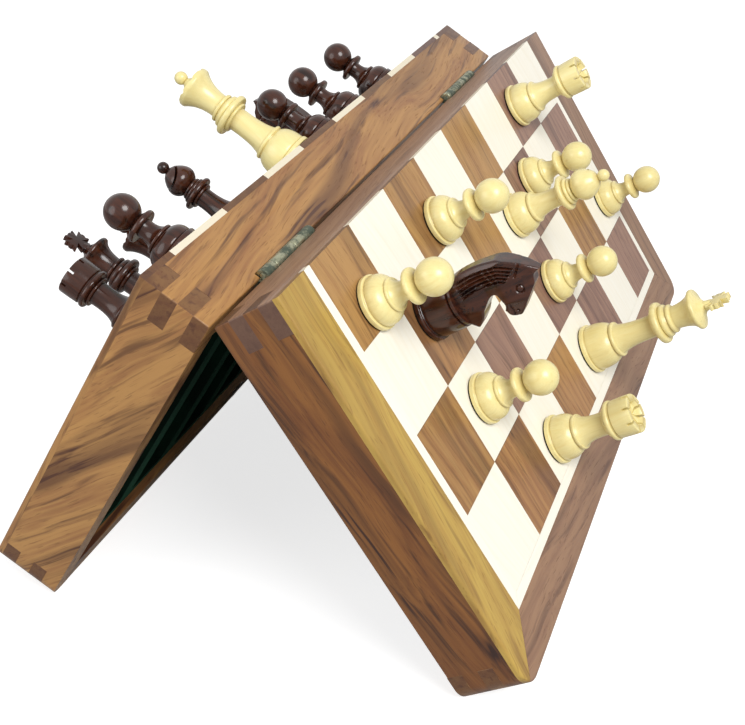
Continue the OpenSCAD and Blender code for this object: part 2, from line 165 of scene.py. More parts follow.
# %% [markdown]
# ## Working in a tray's own frame
#
# Each tray leans, so its pieces are modelled lying flat and then moved. In a tray's own frame X
# runs from the hinge side to the free side, Y along the hinge, and Z from the rim up to the
# playing surface. The lift of a man gives the way out of the board, and the hinge its corner.

# %% The frames of the two trays
hinge_joint = next(j for j in frame["joints"] if j["name"] == "leaf_hinge")
hinge_back = 0.6 * mm
hinge_rim = 0.3 * mm


def tray_matrix(a_lift):
    lift = next(j for j in frame["joints"] if j["name"] == a_lift)
    out = Vector(lift["axis"]).normalized()
    away = Vector((math.copysign(out.z, out.x), 0, -abs(out.x)))
    corner = Vector(hinge_joint["pos_m"]) + away * hinge_back + out * hinge_rim
    turn = Matrix((away, (0, 1, 0), out)).transposed().to_4x4()
    return Matrix.Translation(corner) @ turn


TRAY = {"right": tray_matrix("light_pawn_a_lift"), "left": tray_matrix("light_queen_lift")}
OUT = {side: (TRAY[side].to_3x3() @ Vector((0, 0, 1))).normalized() for side in TRAY}


def flat_box(side, node):
    """The lowest and highest corner of a CAD node, in its tray's own frame."""
    back = TRAY[side].inverted()
    points = [back @ v.co for v in frame["nodes"][node].data.vertices]
    return (Vector([min(p[i] for p in points) for i in range(3)]),
            Vector([max(p[i] for p in points) for i in range(3)]))


end_low, end_high = flat_box("right", "right_near_end_wall")
free_low, free_high = flat_box("right", "right_free_wall")
wall_t = end_high.y - end_low.y
wall_h = end_high.z - end_low.z
tray_w = end_high.x
tray_l = -2 * end_low.y
fingers = 4
finger_h = wall_h / fingers
corner_r = 6 * mm
print(f"tray {tray_w / mm:.1f} x {tray_l / mm:.1f} mm, walls {wall_t / mm:.1f} x {wall_h / mm:.1f}")

# %% [markdown]
# ## Wood that knows its own grain
#
# Real boards are cut from logs, so their figure is a slice of something solid. Every wooden piece
# carries an attribute named grain: a place inside an imaginary log, whose X runs along the trunk.
# One shader group turns that place into rings, streaks and pores, and so a board's face, its edge
# and its end grain agree with each other.

# %% Small helpers for shader nodes
def socket(group, name, kind, way, value=None):
    made = group.interface.new_socket(name=name, in_out=way, socket_type=kind)
    if value is not None:
        made.default_value = value
    return made


def math_node(nodes, links, operation, a, b=None, clamp=False, c=None):
    made = nodes.new("ShaderNodeMath")
    made.operation = operation
    made.use_clamp = clamp
    for slot, value in ((0, a), (1, b), (2, c)):
        if value is None:
            continue
        if isinstance(value, (int, float)):
            made.inputs[slot].default_value = value
        else:
            links.new(value, made.inputs[slot])
    return made.outputs[0]


def noise_node(nodes, links, vector, scale, detail, stretch=None, distortion=0.0):
    if stretch:
        mapping = nodes.new("ShaderNodeMapping")
        mapping.inputs["Scale"].default_value = stretch
        links.new(vector, mapping.inputs["Vector"])
        vector = mapping.outputs[0]
    made = nodes.new("ShaderNodeTexNoise")
    made.inputs["Scale"].default_value = scale
    made.inputs["Detail"].default_value = detail
    made.inputs["Distortion"].default_value = distortion
    links.new(vector, made.inputs["Vector"])
    return made


def ramp_node(nodes, links, value, low, high):
    made = nodes.new("ShaderNodeMapRange")
    made.interpolation_type = "SMOOTHSTEP"
    made.inputs["From Min"].default_value = low
    made.inputs["From Max"].default_value = high
    links.new(value, made.inputs["Value"])
    return made.outputs["Result"]


def mix_node(nodes, links, share, a, b, blend="MIX"):
    made = nodes.new("ShaderNodeMix")
    made.data_type = "RGBA"
    made.blend_type = blend
    for name, value in (("Factor", share), ("A", a), ("B", b)):
        places = [i for i in made.inputs if i.name == name and i.enabled]
        if isinstance(value, (int, float)):
            places[0].default_value = value
        elif isinstance(value, tuple):
            places[0].default_value = value
        else:
            links.new(value, places[0])
    return next(o for o in made.outputs if o.enabled)


# %% The shader group for timber
def timber_group():
    group = bpy.data.node_groups.new("timber", "ShaderNodeTree")
    socket(group, "Place", "NodeSocketVector", "INPUT")
    socket(group, "Pale", "NodeSocketColor", "INPUT")
    socket(group, "Warm", "NodeSocketColor", "INPUT")
    socket(group, "Dark", "NodeSocketColor", "INPUT")
    socket(group, "Ring Width", "NodeSocketFloat", "INPUT", 0.004)
    socket(group, "Rings", "NodeSocketFloat", "INPUT", 0.5)
    socket(group, "Streaks", "NodeSocketFloat", "INPUT", 0.5)
    socket(group, "Pores", "NodeSocketFloat", "INPUT", 0.5)
    socket(group, "Tone", "NodeSocketFloat", "INPUT", 0.3)
    socket(group, "End Grain", "NodeSocketFloat", "INPUT", 0.0)
    socket(group, "Painted Hollow Shade", "NodeSocketFloat", "INPUT", 0.0)
    socket(group, "Color", "NodeSocketColor", "OUTPUT")
    socket(group, "Height", "NodeSocketFloat", "OUTPUT")
    socket(group, "Roughness", "NodeSocketFloat", "OUTPUT")
    nodes, links = group.nodes, group.links
    given = nodes.new("NodeGroupInput")
    result = nodes.new("NodeGroupOutput")
    place = given.outputs["Place"]

    # The trunk sways, which bends the rings into cathedrals and waves
    sway = noise_node(nodes, links, place, 26, 2, (0.45, 1, 1))
    centred = nodes.new("ShaderNodeVectorMath")
    centred.operation = "SUBTRACT"
    links.new(sway.outputs["Color"], centred.inputs[0])
    centred.inputs[1].default_value = (0.5, 0.5, 0.5)
    moved = nodes.new("ShaderNodeVectorMath")
    moved.operation = "MULTIPLY_ADD"
    links.new(centred.outputs[0], moved.inputs[0])
    moved.inputs[1].default_value = (0, 0.016, 0.016)
    links.new(place, moved.inputs[2])
    parts = nodes.new("ShaderNodeSeparateXYZ")
    links.new(moved.outputs[0], parts.inputs[0])
    pith = 0.045
    across = math_node(nodes, links, "WRAP", parts.outputs["Y"], 1.0)
    across.node.inputs[2].default_value = 0.0
    deep = math_node(nodes, links, "WRAP", parts.outputs["Z"], 1.0)
    deep.node.inputs[2].default_value = 0.0
    y = math_node(nodes, links, "SUBTRACT", across, 0.5)
    z = math_node(nodes, links, "SUBTRACT", deep, 0.5 - pith)
    radius = math_node(nodes, links, "SQRT", math_node(nodes, links, "ADD",
        math_node(nodes, links, "MULTIPLY", y, y), math_node(nodes, links, "MULTIPLY", z, z)))
    turns = math_node(nodes, links, "DIVIDE", radius, given.outputs["Ring Width"])
    ring = math_node(nodes, links, "FRACT", turns)
    late = ramp_node(nodes, links, math_node(nodes, links, "PINGPONG", turns, 0.5), 0.1, 0.45)
    ring_mask = math_node(nodes, links, "MULTIPLY", math_node(nodes, links, "MULTIPLY", late, ring),
                          given.outputs["Rings"], True)

    # Long dark streaks, fine fibres and open pores, all drawn out along the trunk
    wide = noise_node(nodes, links, moved.outputs[0], 95, 3, (0.05, 1, 1), 0.4)
    fine = noise_node(nodes, links, moved.outputs[0], 430, 3, (0.03, 1, 1), 0.3)
    drawn = math_node(nodes, links, "ADD", ramp_node(nodes, links, wide.outputs["Fac"], 0.5, 0.7),
                      ramp_node(nodes, links, fine.outputs["Fac"], 0.53, 0.72))
    late_line = ramp_node(nodes, links, math_node(nodes, links, "MULTIPLY", late, ring), 0.55, 0.95)
    drawn = math_node(nodes, links, "ADD", drawn, math_node(nodes, links, "MULTIPLY", late_line,
                      given.outputs["Rings"]))
    streak = math_node(nodes, links, "MULTIPLY", drawn, given.outputs["Streaks"], True)
    fibre = noise_node(nodes, links, moved.outputs[0], 900, 4, (0.035, 1, 1))
    pore_noise = noise_node(nodes, links, moved.outputs[0], 2100, 1, (0.055, 1, 1))
    pore = math_node(nodes, links, "MULTIPLY", ramp_node(nodes, links, pore_noise.outputs["Fac"],
                     0.62, 0.7), given.outputs["Pores"], True)
    tone_noise = noise_node(nodes, links, place, 0.9, 0)
    tone = math_node(nodes, links, "MULTIPLY", math_node(nodes, links, "SUBTRACT",
                     tone_noise.outputs["Fac"], 0.5), given.outputs["Tone"])
    warm_share = math_node(nodes, links, "ADD", math_node(nodes, links, "ADD", ring_mask, tone),
                           math_node(nodes, links, "MULTIPLY_ADD", fibre.outputs["Fac"], 1.6,
                                     c=-0.65), True)
    ground = mix_node(nodes, links, warm_share, given.outputs["Pale"], given.outputs["Warm"])
    streaked = mix_node(nodes, links, streak, ground, given.outputs["Dark"])
    pored = mix_node(nodes, links, math_node(nodes, links, "MULTIPLY", pore, 0.55), streaked,
                     given.outputs["Dark"])
    cut_end = mix_node(nodes, links, math_node(nodes, links, "MULTIPLY", given.outputs["End Grain"],
                       0.8, True), pored, given.outputs["Dark"])
    # Painted shade: the hollow-shade input mixes the colour towards the dark wood in hollows and carved grooves.
    in_recess = mix_node(nodes, links, math_node(nodes, links, "MULTIPLY", given.outputs["Painted Hollow Shade"],
                         0.7, True), cut_end, given.outputs["Dark"])
    links.new(in_recess, result.inputs["Color"])
    height = math_node(nodes, links, "SUBTRACT", math_node(nodes, links, "MULTIPLY",
                       fibre.outputs["Fac"], 0.4), pore)
    links.new(height, result.inputs["Height"])
    rough = math_node(nodes, links, "ADD", math_node(nodes, links, "MULTIPLY", pore, 0.25),
                      math_node(nodes, links, "MULTIPLY", fibre.outputs["Fac"], 0.12))
    links.new(rough, result.inputs["Roughness"])
    return group


TIMBER = timber_group()


def wood(name, pale, warm, dark, ring_mm, rings, streaks, pores, tone, rough, coat):
    """A finished wood: the timber group, read at the piece's grain attribute, under a coat."""
    material = bpy.data.materials.new(name)
    material.use_nodes = True
    nodes, links = material.node_tree.nodes, material.node_tree.links
    shader = nodes["Principled BSDF"]
    grain = nodes.new("ShaderNodeAttribute")
    grain.attribute_name = "grain"
    timber = nodes.new("ShaderNodeGroup")
    timber.node_tree = TIMBER
    links.new(grain.outputs["Vector"], timber.inputs["Place"])
    # End grain is the wood's own darker cut; the second attribute is painted shade for hollows.
    for attribute, place in (("end", "End Grain"), ("recess", "Painted Hollow Shade")):
        mask = nodes.new("ShaderNodeAttribute")
        mask.attribute_name = attribute
        links.new(mask.outputs["Fac"], timber.inputs[place])
    for place, value in (("Pale", pale), ("Warm", warm), ("Dark", dark)):
        timber.inputs[place].default_value = (*value, 1)
    for place, value in (("Ring Width", ring_mm * mm), ("Rings", rings), ("Streaks", streaks),
                         ("Pores", pores), ("Tone", tone)):
        timber.inputs[place].default_value = value
    links.new(timber.outputs["Color"], shader.inputs["Base Color"])
    links.new(math_node(nodes, links, "ADD", timber.outputs["Roughness"], rough),
              shader.inputs["Roughness"])
    bump = nodes.new("ShaderNodeBump")
    bump.inputs["Strength"].default_value = 0.25
    bump.inputs["Distance"].default_value = 0.08 * mm
    links.new(timber.outputs["Height"], bump.inputs["Height"])
    links.new(bump.outputs[0], shader.inputs["Normal"])
    shader.inputs["Coat Weight"].default_value = coat
    shader.inputs["Coat Roughness"].default_value = 0.22
    shader.inputs["Specular IOR Level"].default_value = 0.35
    return material


# %% [markdown]
# The walls and dark squares are an open-pored brown hardwood whose heart runs from gold to red
# brown with near-black streaks. The border is cut from the yellower sapwood side. The light
# squares and the line are a close, creamy maple. All have a thin satin lacquer. Two greyer, mauve
# copies, of the border and of the dark squares, are painted reflection haze and painted shade.

# %% The woods
WOODS = {
    "wall": wood("wall_hardwood", (0.43, 0.225, 0.072), (0.26, 0.11, 0.040), (0.075, 0.026, 0.012),
                 5, 0.8, 0.75, 0.6, 0.7, 0.34, 0.12),
    "wall_red": wood("wall_hardwood_red", (0.235, 0.093, 0.022), (0.125, 0.040, 0.012),
                     (0.030, 0.010, 0.006), 6, 0.8, 0.8, 0.6, 0.7, 0.34, 0.12),
    "border": wood("border_hardwood", (0.50, 0.33, 0.075), (0.36, 0.20, 0.045),
                   (0.14, 0.06, 0.018), 5, 0.7, 0.45, 0.6, 0.6, 0.34, 0.12),
    # A greyer, mauve copy of the border wood that paints reflection haze and shade onto the parts that take it.
    "border_painted_haze": wood("border_hardwood_painted_haze", (0.31, 0.175, 0.10), (0.20, 0.10, 0.062),
                       (0.085, 0.04, 0.028), 5, 0.6, 0.5, 0.6, 0.6, 0.34, 0.12),
    "dark_square": wood("dark_square_hardwood", (0.40, 0.205, 0.075), (0.23, 0.095, 0.038),
                        (0.07, 0.026, 0.014), 4, 0.8, 0.5, 0.6, 1.6, 0.34, 0.12),
    "dark_square_gold": wood("dark_square_gold", (0.42, 0.23, 0.078), (0.26, 0.115, 0.038),
                             (0.085, 0.034, 0.014), 5, 0.8, 0.45, 0.6, 1.2, 0.34, 0.12),
    # A mauve copy of the dark-square wood: painted shade for the far end of the board.
    "dark_square_far_shade": wood("dark_square_far_shade", (0.33, 0.19, 0.13), (0.205, 0.105, 0.078),
                             (0.08, 0.036, 0.028), 4, 0.7, 0.45, 0.6, 1.2, 0.34, 0.12),
    "maple": wood("maple", (0.92, 0.88, 0.77), (0.88, 0.82, 0.68), (0.78, 0.70, 0.52),
                  3, 0.35, 0.10, 0.10, 0.4, 0.36, 0.12),
    "line": wood("line_maple", (0.93, 0.89, 0.78), (0.89, 0.84, 0.71), (0.78, 0.70, 0.54),
                 2, 0.2, 0.05, 0.05, 0.2, 0.36, 0.12),
}

# %% [markdown]
# ## From a bmesh to a piece
#
# Each board is a closed shape in its tray's frame. Laying the grain comes last, when no operator
# will add vertices any more. The two trays are mirror images, so the normals are worked out again
# after the move.

# %% Blocks, grain and finished pieces
def block(low, high):
    """A plain block between two corners."""
    made = bmesh.new()
    bmesh.ops.create_cube(made, size=1)
    bmesh.ops.scale(made, vec=high - low, verts=made.verts)
    bmesh.ops.translate(made, vec=(low + high) / 2, verts=made.verts)
    return made


def everything(bm):
    return list(bm.verts) + list(bm.edges) + list(bm.faces)


def lay_grain(bm, along, seed, slant=0.0, tip=0.0):
    """Writes each vertex's place in its log, and how far each face cuts across the grain.

    along is the way that the trunk runs: 0 for X, 1 for Y or 2 for Z."""
    layer = bm.verts.layers.float_vector.get("grain") or bm.verts.layers.float_vector.new("grain")
    dice = random.Random(seed)
    where = Vector((dice.uniform(2, 9), dice.uniform(2, 9), dice.uniform(2, 9)))
    where.y = math.floor(where.y) + 0.5 + dice.uniform(-0.03, 0.03)
    where.z = math.floor(where.z) + 0.5 + dice.uniform(-0.02, 0.02)
    turn = Matrix.Rotation(slant, 3, "Z") @ Matrix.Rotation(tip, 3, "X")
    if along == 1:
        turn = turn @ Matrix.Rotation(math.radians(-90), 3, "Z")
    if along == 2:
        turn = turn @ Matrix.Rotation(math.radians(90), 3, "Y")
    for v in bm.verts:
        v[layer] = turn @ v.co + where
    if along < 2:
        bm.normal_update()
        end = bm.faces.layers.float.get("end") or bm.faces.layers.float.new("end")
        for face in bm.faces:
            face[end] = max(0, abs((turn @ face.normal).x) - 0.3) / 0.7


def merge_into(whole, part):
    """Adds one bmesh to another, and frees it."""
    mesh = bpy.data.meshes.new("part")
    part.to_mesh(mesh)
    part.free()
    whole.from_mesh(mesh)
    bpy.data.meshes.remove(mesh)


def bevel(bm, edges, width, segments):
    bmesh.ops.bevel(bm, geom=edges, offset=width, offset_type="OFFSET", segments=segments,
                    affect="EDGES", profile=0.5, material=-1, clamp_overlap=True)


def finish_piece(bm, name, material, body, replaced, matrix=None, smooth_angle=35):
    """Makes an object of a bmesh, in the row frame, and hands it to its body."""
    if matrix is not None:
        bmesh.ops.transform(bm, matrix=matrix, verts=bm.verts)
    bmesh.ops.recalc_face_normals(bm, faces=bm.faces)
    mesh = bpy.data.meshes.new(name)
    bm.to_mesh(mesh)
    bm.free()
    mesh.shade_smooth()
    mesh.set_sharp_from_angle(angle=math.radians(smooth_angle))
    for one in material if isinstance(material, list) else [material]:
        mesh.materials.append(one)
    piece = bpy.data.objects.new(name, mesh)
    bpy.context.scene.collection.objects.link(piece)
    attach(piece, body)
    if replaced:
        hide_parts(*replaced)
    return piece


# %% [markdown]
# ## Finger-jointed walls
#
# A wall is a plank whose ends are cut into fingers. It starts as the stretch between the two
# corners. Its ends are sliced into four levels, and every second slice is drawn out to the
# corner. Saw, not glue: each finger is part of the plank, so the grain runs on into it.

# %% A wall with its fingers
def finger_wall(low, high, along, low_levels, high_levels):
    core_low, core_high = low.copy(), high.copy()
    core_low[along] += wall_t
    core_high[along] -= wall_t
    bm = block(core_low, core_high)
    for level in range(1, fingers):
        bmesh.ops.bisect_plane(bm, geom=everything(bm), plane_co=(0, 0, low.z + level * finger_h),
                               plane_no=(0, 0, 1))
    for way, levels in ((-1, low_levels), (1, high_levels)):
        bm.faces.ensure_lookup_table()
        bm.normal_update()
        ends = [f for f in bm.faces if f.normal[along] * way > 0.9
                and int((f.calc_center_median().z - low.z) / finger_h) in levels]
        grown = bmesh.ops.extrude_discrete_faces(bm, faces=ends)["faces"]
        step = Vector((0, 0, 0))
        step[along] = way * wall_t
        bmesh.ops.translate(bm, vec=step, verts=list({v for f in grown for v in f.verts}))
    bmesh.ops.dissolve_limit(bm, angle_limit=math.radians(1), verts=bm.verts, edges=bm.edges)
    return bm


def carve(bm, cutters, operation="DIFFERENCE", merge_flat=True):
    """Cuts cutters out of a bmesh, or adds them to it, with the exact Boolean modifier."""
    made = []
    for source in (bm, *cutters):
        mesh = bpy.data.meshes.new("carving")
        bmesh.ops.recalc_face_normals(source, faces=source.faces)
        source.to_mesh(mesh)
        made.append(bpy.data.objects.new("carving", mesh))
        bpy.context.scene.collection.objects.link(made[-1])
        if source is not bm:
            source.free()
    for cutter in made[1:]:
        cut = made[0].modifiers.new("cut", "BOOLEAN")
        cut.operation = operation
        cut.solver = "EXACT"
        cut.object = cutter
    bpy.context.view_layer.update()
    shape = made[0].evaluated_get(bpy.context.evaluated_depsgraph_get())
    bm.clear()
    bm.from_mesh(shape.to_mesh())
    for thing in made:
        mesh = thing.data
        bpy.data.objects.remove(thing)
        bpy.data.meshes.remove(mesh)
    if merge_flat:
        bmesh.ops.dissolve_limit(bm, angle_limit=math.radians(1), verts=bm.verts, edges=bm.edges)


def round_corners(bm):
    """Rounds the upright corners of the free side."""
    upright = [e for e in bm.edges if abs(e.verts[0].co.z - e.verts[1].co.z) > 1 * mm
               and all(abs(v.co.x - tray_w) < 1e-5 and abs(abs(v.co.y) - tray_l / 2) < 1e-5
                       for v in e.verts)]
    if upright:
        bevel(bm, upright, corner_r, 10)


def soften(bm, outer=0.45 * mm, inner=0.09 * mm):
    """Sands the tray's outer arrises, and just breaks the edges of the joints."""
    def on_limits(v):
        return (min(abs(v.co.x), abs(v.co.x - tray_w)) < 1e-5) + (
            abs(abs(v.co.y) - tray_l / 2) < 1e-5) + (abs(v.co.z) < 1e-5)

    bm.normal_update()
    sharp = [e for e in bm.edges if e.is_manifold and e.is_convex and e.calc_face_angle(0) > 0.9]
    arris = [e for e in sharp if all(on_limits(v) >= 2 for v in e.verts)]
    rest = [e for e in sharp if e not in set(arris)]
    keep = [e for e in rest if e.calc_length() > 1.5 * mm]
    bevel(bm, arris, outer, 3)
    bevel(bm, [e for e in keep if e.is_valid], inner, 1)


# %% [markdown]
# The right hinge wall holds the second and fourth fingers up from the rim, and the left one the
# first and third, so the two corners meet like a zip. The hinge walls get the notches for the
# hinges, all walls the rebate for the plywood, and the free walls a round hole for a magnet.

# %% All eight walls
plate_t = 1.0 * mm
knuckle_r = 2.0 * mm


def hinge_cutters(side):
    made = []
    for end in ("near", "far"):
        plate_low, plate_high = flat_box(side, f"{end}_hinge_{side}_plate")
        play = 0.2 * mm
        low = Vector((-1 * mm, plate_low.y - play, -1 * mm))
        high = Vector((plate_high.x, plate_high.y + play, plate_t))
        made.append(block(low, high))
        groove = bmesh.new()
        bmesh.ops.create_cone(groove, cap_ends=True, segments=48, radius1=knuckle_r + 0.35 * mm,
                              radius2=knuckle_r + 0.35 * mm, depth=high.y - low.y)
        bmesh.ops.rotate(groove, matrix=Matrix.Rotation(math.radians(90), 3, "X"),
                         verts=groove.verts)
        bmesh.ops.translate(groove, vec=(-hinge_back, (low.y + high.y) / 2, -hinge_rim),
                            verts=groove.verts)
        made.append(groove)
    return made


def panel_cutter(side):
    low, high = flat_box(side, f"{side}_deck_panel")
    grow = Vector((0.15, 0.15, 0)) * mm
    return block(low - grow, high + grow + Vector((0, 0, 1 * mm)))


def magnet_cutter(side):
    low, high = flat_box(side, f"{side}_catch_magnet")
    hole = bmesh.new()
    bmesh.ops.create_cone(hole, cap_ends=True, segments=48, radius1=(high.x - low.x) / 2,
                          radius2=(high.x - low.x) / 2, depth=high.z + 1 * mm)
    bmesh.ops.translate(hole, vec=((low.x + high.x) / 2, 0, (high.z - 1 * mm) / 2),
                        verts=hole.verts)
    return hole


EVEN, ODD = (0, 2), (1, 3)
slants = {"left_near_end_wall": 27, "right_near_end_wall": 7, "left_hinge_wall": 6,
          "right_hinge_wall": -3}
for side in ("right", "left"):
    mine, others = (ODD, EVEN) if side == "right" else (EVEN, ODD)
    for number, (wall, along, low_levels, high_levels) in enumerate((
            ("near_end_wall", 0, others, mine), ("far_end_wall", 0, others, mine),
            ("hinge_wall", 1, mine, mine), ("free_wall", 1, others, others))):
        node = f"{side}_{wall}"
        low, high = flat_box(side, node)
        bm = finger_wall(low, high, along, low_levels, high_levels)
        cutters = [panel_cutter(side)]
        if wall == "hinge_wall":
            cutters += hinge_cutters(side)
        if wall == "free_wall":
            cutters.append(magnet_cutter(side))
        round_corners(bm)
        carve(bm, cutters)
        soften(bm)
        lay_grain(bm, along, node, math.radians(slants.get(node, 5)), math.radians(90))
        # The right near end wall is a redder plank; the right hinge wall takes the greyer border copy, painted
        # shade and reflection haze.
        wood_name = {"right_near_end_wall": "wall_red", "right_hinge_wall": "border_painted_haze"}.get(
            node, "wall")
        finish_piece(bm, node + "_plank", WOODS[wood_name], f"{side}_leaf", [node],
                     TRAY[side])
print("walls made")

# %% [markdown]
# ## The board
#
# Sixty-four tiles are glued edge to edge, each with its own bit of grain. All the grain runs away
# from the hinge. Where a row of tiles reaches the hinge edge, its edges show from the side.

# %% Squares
rows, columns = 4, 8
dark_low, dark_high = flat_box("right", "right_dark_squares")
tile = (dark_high.x - dark_low.x) / rows
deck_low, deck_high = dark_low.z, dark_high.z
glue = 0.03 * mm
for side in ("right", "left"):
    for tone, parity in (("dark", 0), ("light", 1)):
        if side == "left":
            parity = 1 - parity
        whole = bmesh.new()
        for i in range(columns):
            for j in range(rows):
                if (i + j) % 2 != parity:
                    continue
                corner = Vector((j * tile, (i - columns / 2) * tile, deck_low))
                bm = block(corner + Vector((glue if j else 0, glue, 0)),
                           corner + Vector((tile - glue, tile - glue, deck_high - deck_low)))
                bevel(bm, list(bm.edges), 0.05 * mm, 1)
                dice = random.Random(f"{side}{i}{j}")
                lay_grain(bm, 0, f"{side}{tone}{i}{j}", math.radians(dice.uniform(-6, 6)))
                # Most dark tiles take one of two real boards; the third, mauve one is painted shade, picked more
                # often the farther a tile is from the near end.
                if tone == "dark":
                    board = 2 if dice.random() < i / columns else dice.choice((0, 1))
                    for face in bm.faces:
                        face.material_index = board
                merge_into(whole, bm)
        names = ["dark_square", "dark_square_gold", "dark_square_far_shade"] if tone == "dark" else ["maple"]
        slot_name = "dark_square_wood" if tone == "dark" else "maple"
        finish_piece(whole, f"{side}_{tone}_tiles", [WOODS[name] for name in names],
                     f"{side}_leaf", [f"{side}_{tone}_squares"], TRAY[side])

# %% [markdown]
# A pale line and a border frame the tiles on three sides. They are strips with mitred ends: each
# starts as a plain block, gets its outer edge rounded, and is then cut by the two mitre planes.

# %% Line and border
squares_w, squares_l = rows * tile, columns * tile
line_w = 3.4 * mm


def mitre(bm, centre_y, keep_free):
    """Cuts along the two planes that run out at 45 degrees from the corners of the squares."""
    for way in (-1, 1):
        normal = Vector((-1, way, 0)).normalized() * (1 if keep_free else -1)
        if not keep_free and way != centre_y:
            continue
        start = Vector((squares_w, way * squares_l / 2, 0)) - normal * glue
        cut = bmesh.ops.bisect_plane(bm, geom=everything(bm), plane_co=start, plane_no=normal,
                                     clear_outer=True)["geom_cut"]
        bmesh.ops.holes_fill(bm, edges=[e for e in cut if isinstance(e, bmesh.types.BMEdge)])


def strip(inner, outer, place, edge_r):
    """One strip of a frame: its inner and outer distance from the squares, and its side."""
    if place == "free":
        low = Vector((squares_w + inner, -squares_l / 2 - outer, deck_low))
        high = Vector((squares_w + outer, squares_l / 2 + outer, deck_high))
    else:
        way = -1 if place == "near" else 1
        ys = sorted((way * (squares_l / 2 + inner), way * (squares_l / 2 + outer)))
        low = Vector((0, ys[0], deck_low))
        high = Vector((squares_w + outer, ys[1], deck_high))
    bm = block(low, high)
    if edge_r:
        round_corners(bm)
        bm.normal_update()
        rim = [e for e in bm.edges if all(abs(v.co.z - deck_high) < 1e-6 for v in e.verts)
               and not e.is_boundary and e.calc_face_angle(0) > 0.5
               and all(v.co.x > tray_w - corner_r - 1e-5 or abs(abs(v.co.y) - tray_l / 2) < 1e-5
                       for v in e.verts)]
        bevel(bm, rim, edge_r, 4)
    mitre(bm, {"near": -1, "free": 0, "far": 1}[place], place == "free")
    return bm


for side in ("right", "left"):
    for kind, inner, outer, wood_name, slot_name, node, edge_r in (
            ("line", 0, line_w, "line", "line_wood", "inlay_line", 0),
            ("border", line_w, tray_w - squares_w, "border", "border_wood", "border", 0.8 * mm)):
        whole = bmesh.new()
        for place in ("near", "free", "far"):
            bm = strip(inner, outer, place, edge_r)
            lay_grain(bm, 1 if place == "free" else 0, f"{side}{kind}{place}", math.radians(6))
            # The near strips keep the plain wood; the free and far strips take the second tone, which paints
            # reflection haze onto them.
            for face in bm.faces:
                face.material_index = 0 if kind == "line" or place == "near" else 1
            merge_into(whole, bm)
        tones = [WOODS[wood_name]]
        if kind == "border":
            tones = [WOODS["border" if side == "right" else "wall"], WOODS["border_painted_haze"]]
        finish_piece(whole, f"{side}_{kind}_strips", tones, f"{side}_leaf",
                     [f"{side}_{node}"], TRAY[side])
print("board made")

# %% [markdown]
# ## The velvet inserts
#
# Each tray is filled with a foam block covered in dark green velvet, with eight slots that each
# take two men. The block starts as a box. Its mouth is sliced along the edges of the slots, the
# rectangles between the cuts are pushed in, and all edges are rounded, as cloth over foam is.

# %% Velvet
def velvet_material():
    material = bpy.data.materials.new("green_velvet")
    material.use_nodes = True
    nodes, links = material.node_tree.nodes, material.node_tree.links
    shader = nodes["Principled BSDF"]
    place = nodes.new("ShaderNodeTexCoord").outputs["Object"]
    brushed = ramp_node(nodes, links, noise_node(nodes, links, place, 70, 3).outputs["Fac"], 0.4, 0.65)
    links.new(mix_node(nodes, links, brushed, (0.0008, 0.006, 0.003, 1), (0.002, 0.014, 0.007, 1)),
              shader.inputs["Base Color"])
    bump = nodes.new("ShaderNodeBump")
    bump.inputs["Strength"].default_value = 0.5
    bump.inputs["Distance"].default_value = 0.15 * mm
    links.new(noise_node(nodes, links, place, 2600, 2).outputs["Fac"], bump.inputs["Height"])
    links.new(bump.outputs[0], shader.inputs["Normal"])
    shader.inputs["Roughness"].default_value = 0.95
    shader.inputs["Specular IOR Level"].default_value = 0.1
    shader.inputs["Sheen Weight"].default_value = 0.08
    shader.inputs["Sheen Roughness"].default_value = 0.4
    shader.inputs["Sheen Tint"].default_value = (0.15, 0.6, 0.35, 1)
    return material


# %% Inserts
slot_count, slot_w, slot_wall, slot_floor = 8, 20 * mm, 3.5 * mm, 0.5 * mm
VELVET = velvet_material()


def slotted_foam(low, high):
    bm = block(low, high)
    pitch = (high.y - low.y) / slot_count
    cuts = [((x, 0, 0), (1, 0, 0)) for x in (low.x + slot_wall, high.x - slot_wall)]
    middles = [low.y + (i + 0.5) * pitch for i in range(slot_count)]
    cuts += [((0, y + way * slot_w / 2, 0), (0, 1, 0)) for y in middles for way in (-1, 1)]
    for place, normal in cuts:
        bmesh.ops.bisect_plane(bm, geom=everything(bm), plane_co=place, plane_no=normal)
    bm.normal_update()
    mouths = [f for f in bm.faces if f.normal.z < -0.9
              and low.x + slot_wall < f.calc_center_median().x < high.x - slot_wall
              and any(abs(f.calc_center_median().y - y) < slot_w / 2 for y in middles)]
    pushed = bmesh.ops.extrude_discrete_faces(bm, faces=mouths)["faces"]
    bmesh.ops.translate(bm, vec=(0, 0, high.z - low.z - slot_floor),
                        verts=list({v for f in pushed for v in f.verts}))
    bmesh.ops.dissolve_limit(bm, angle_limit=math.radians(1), verts=bm.verts, edges=bm.edges)
    inside = [e for e in bm.edges if all(low.x + 1e-4 < v.co.x < high.x - 1e-4 for v in e.verts)]
    upright = [e for e in inside if abs(e.verts[0].co.z - e.verts[1].co.z) > 1 * mm]
    bevel(bm, upright, 1.5 * mm, 4)
    rims = [e for e in bm.edges if all(abs(v.co.z - low.z) < 1e-5 for v in e.verts)]
    bevel(bm, rims, 0.9 * mm, 4)
    return bm


for side in ("right", "left"):
    low, high = flat_box(side, f"{side}_insert")
    foam = finish_piece(slotted_foam(low, high), f"{side}_velvet_insert", VELVET, f"{side}_leaf",
                        [f"{side}_insert"], TRAY[side])
    print(foam.name, "faces:", len(foam.data.polygons))

# %% [markdown]
# ## Hinges, screws and magnets
#
# The butt hinges are aged brass, dulled to a greenish grey. A plate and its rolled knuckles are
# joined into one body, and then the holes for the pin and for the countersunk screws are cut. One
# shader group draws the tarnish for the brass, the plated magnets and the steel.

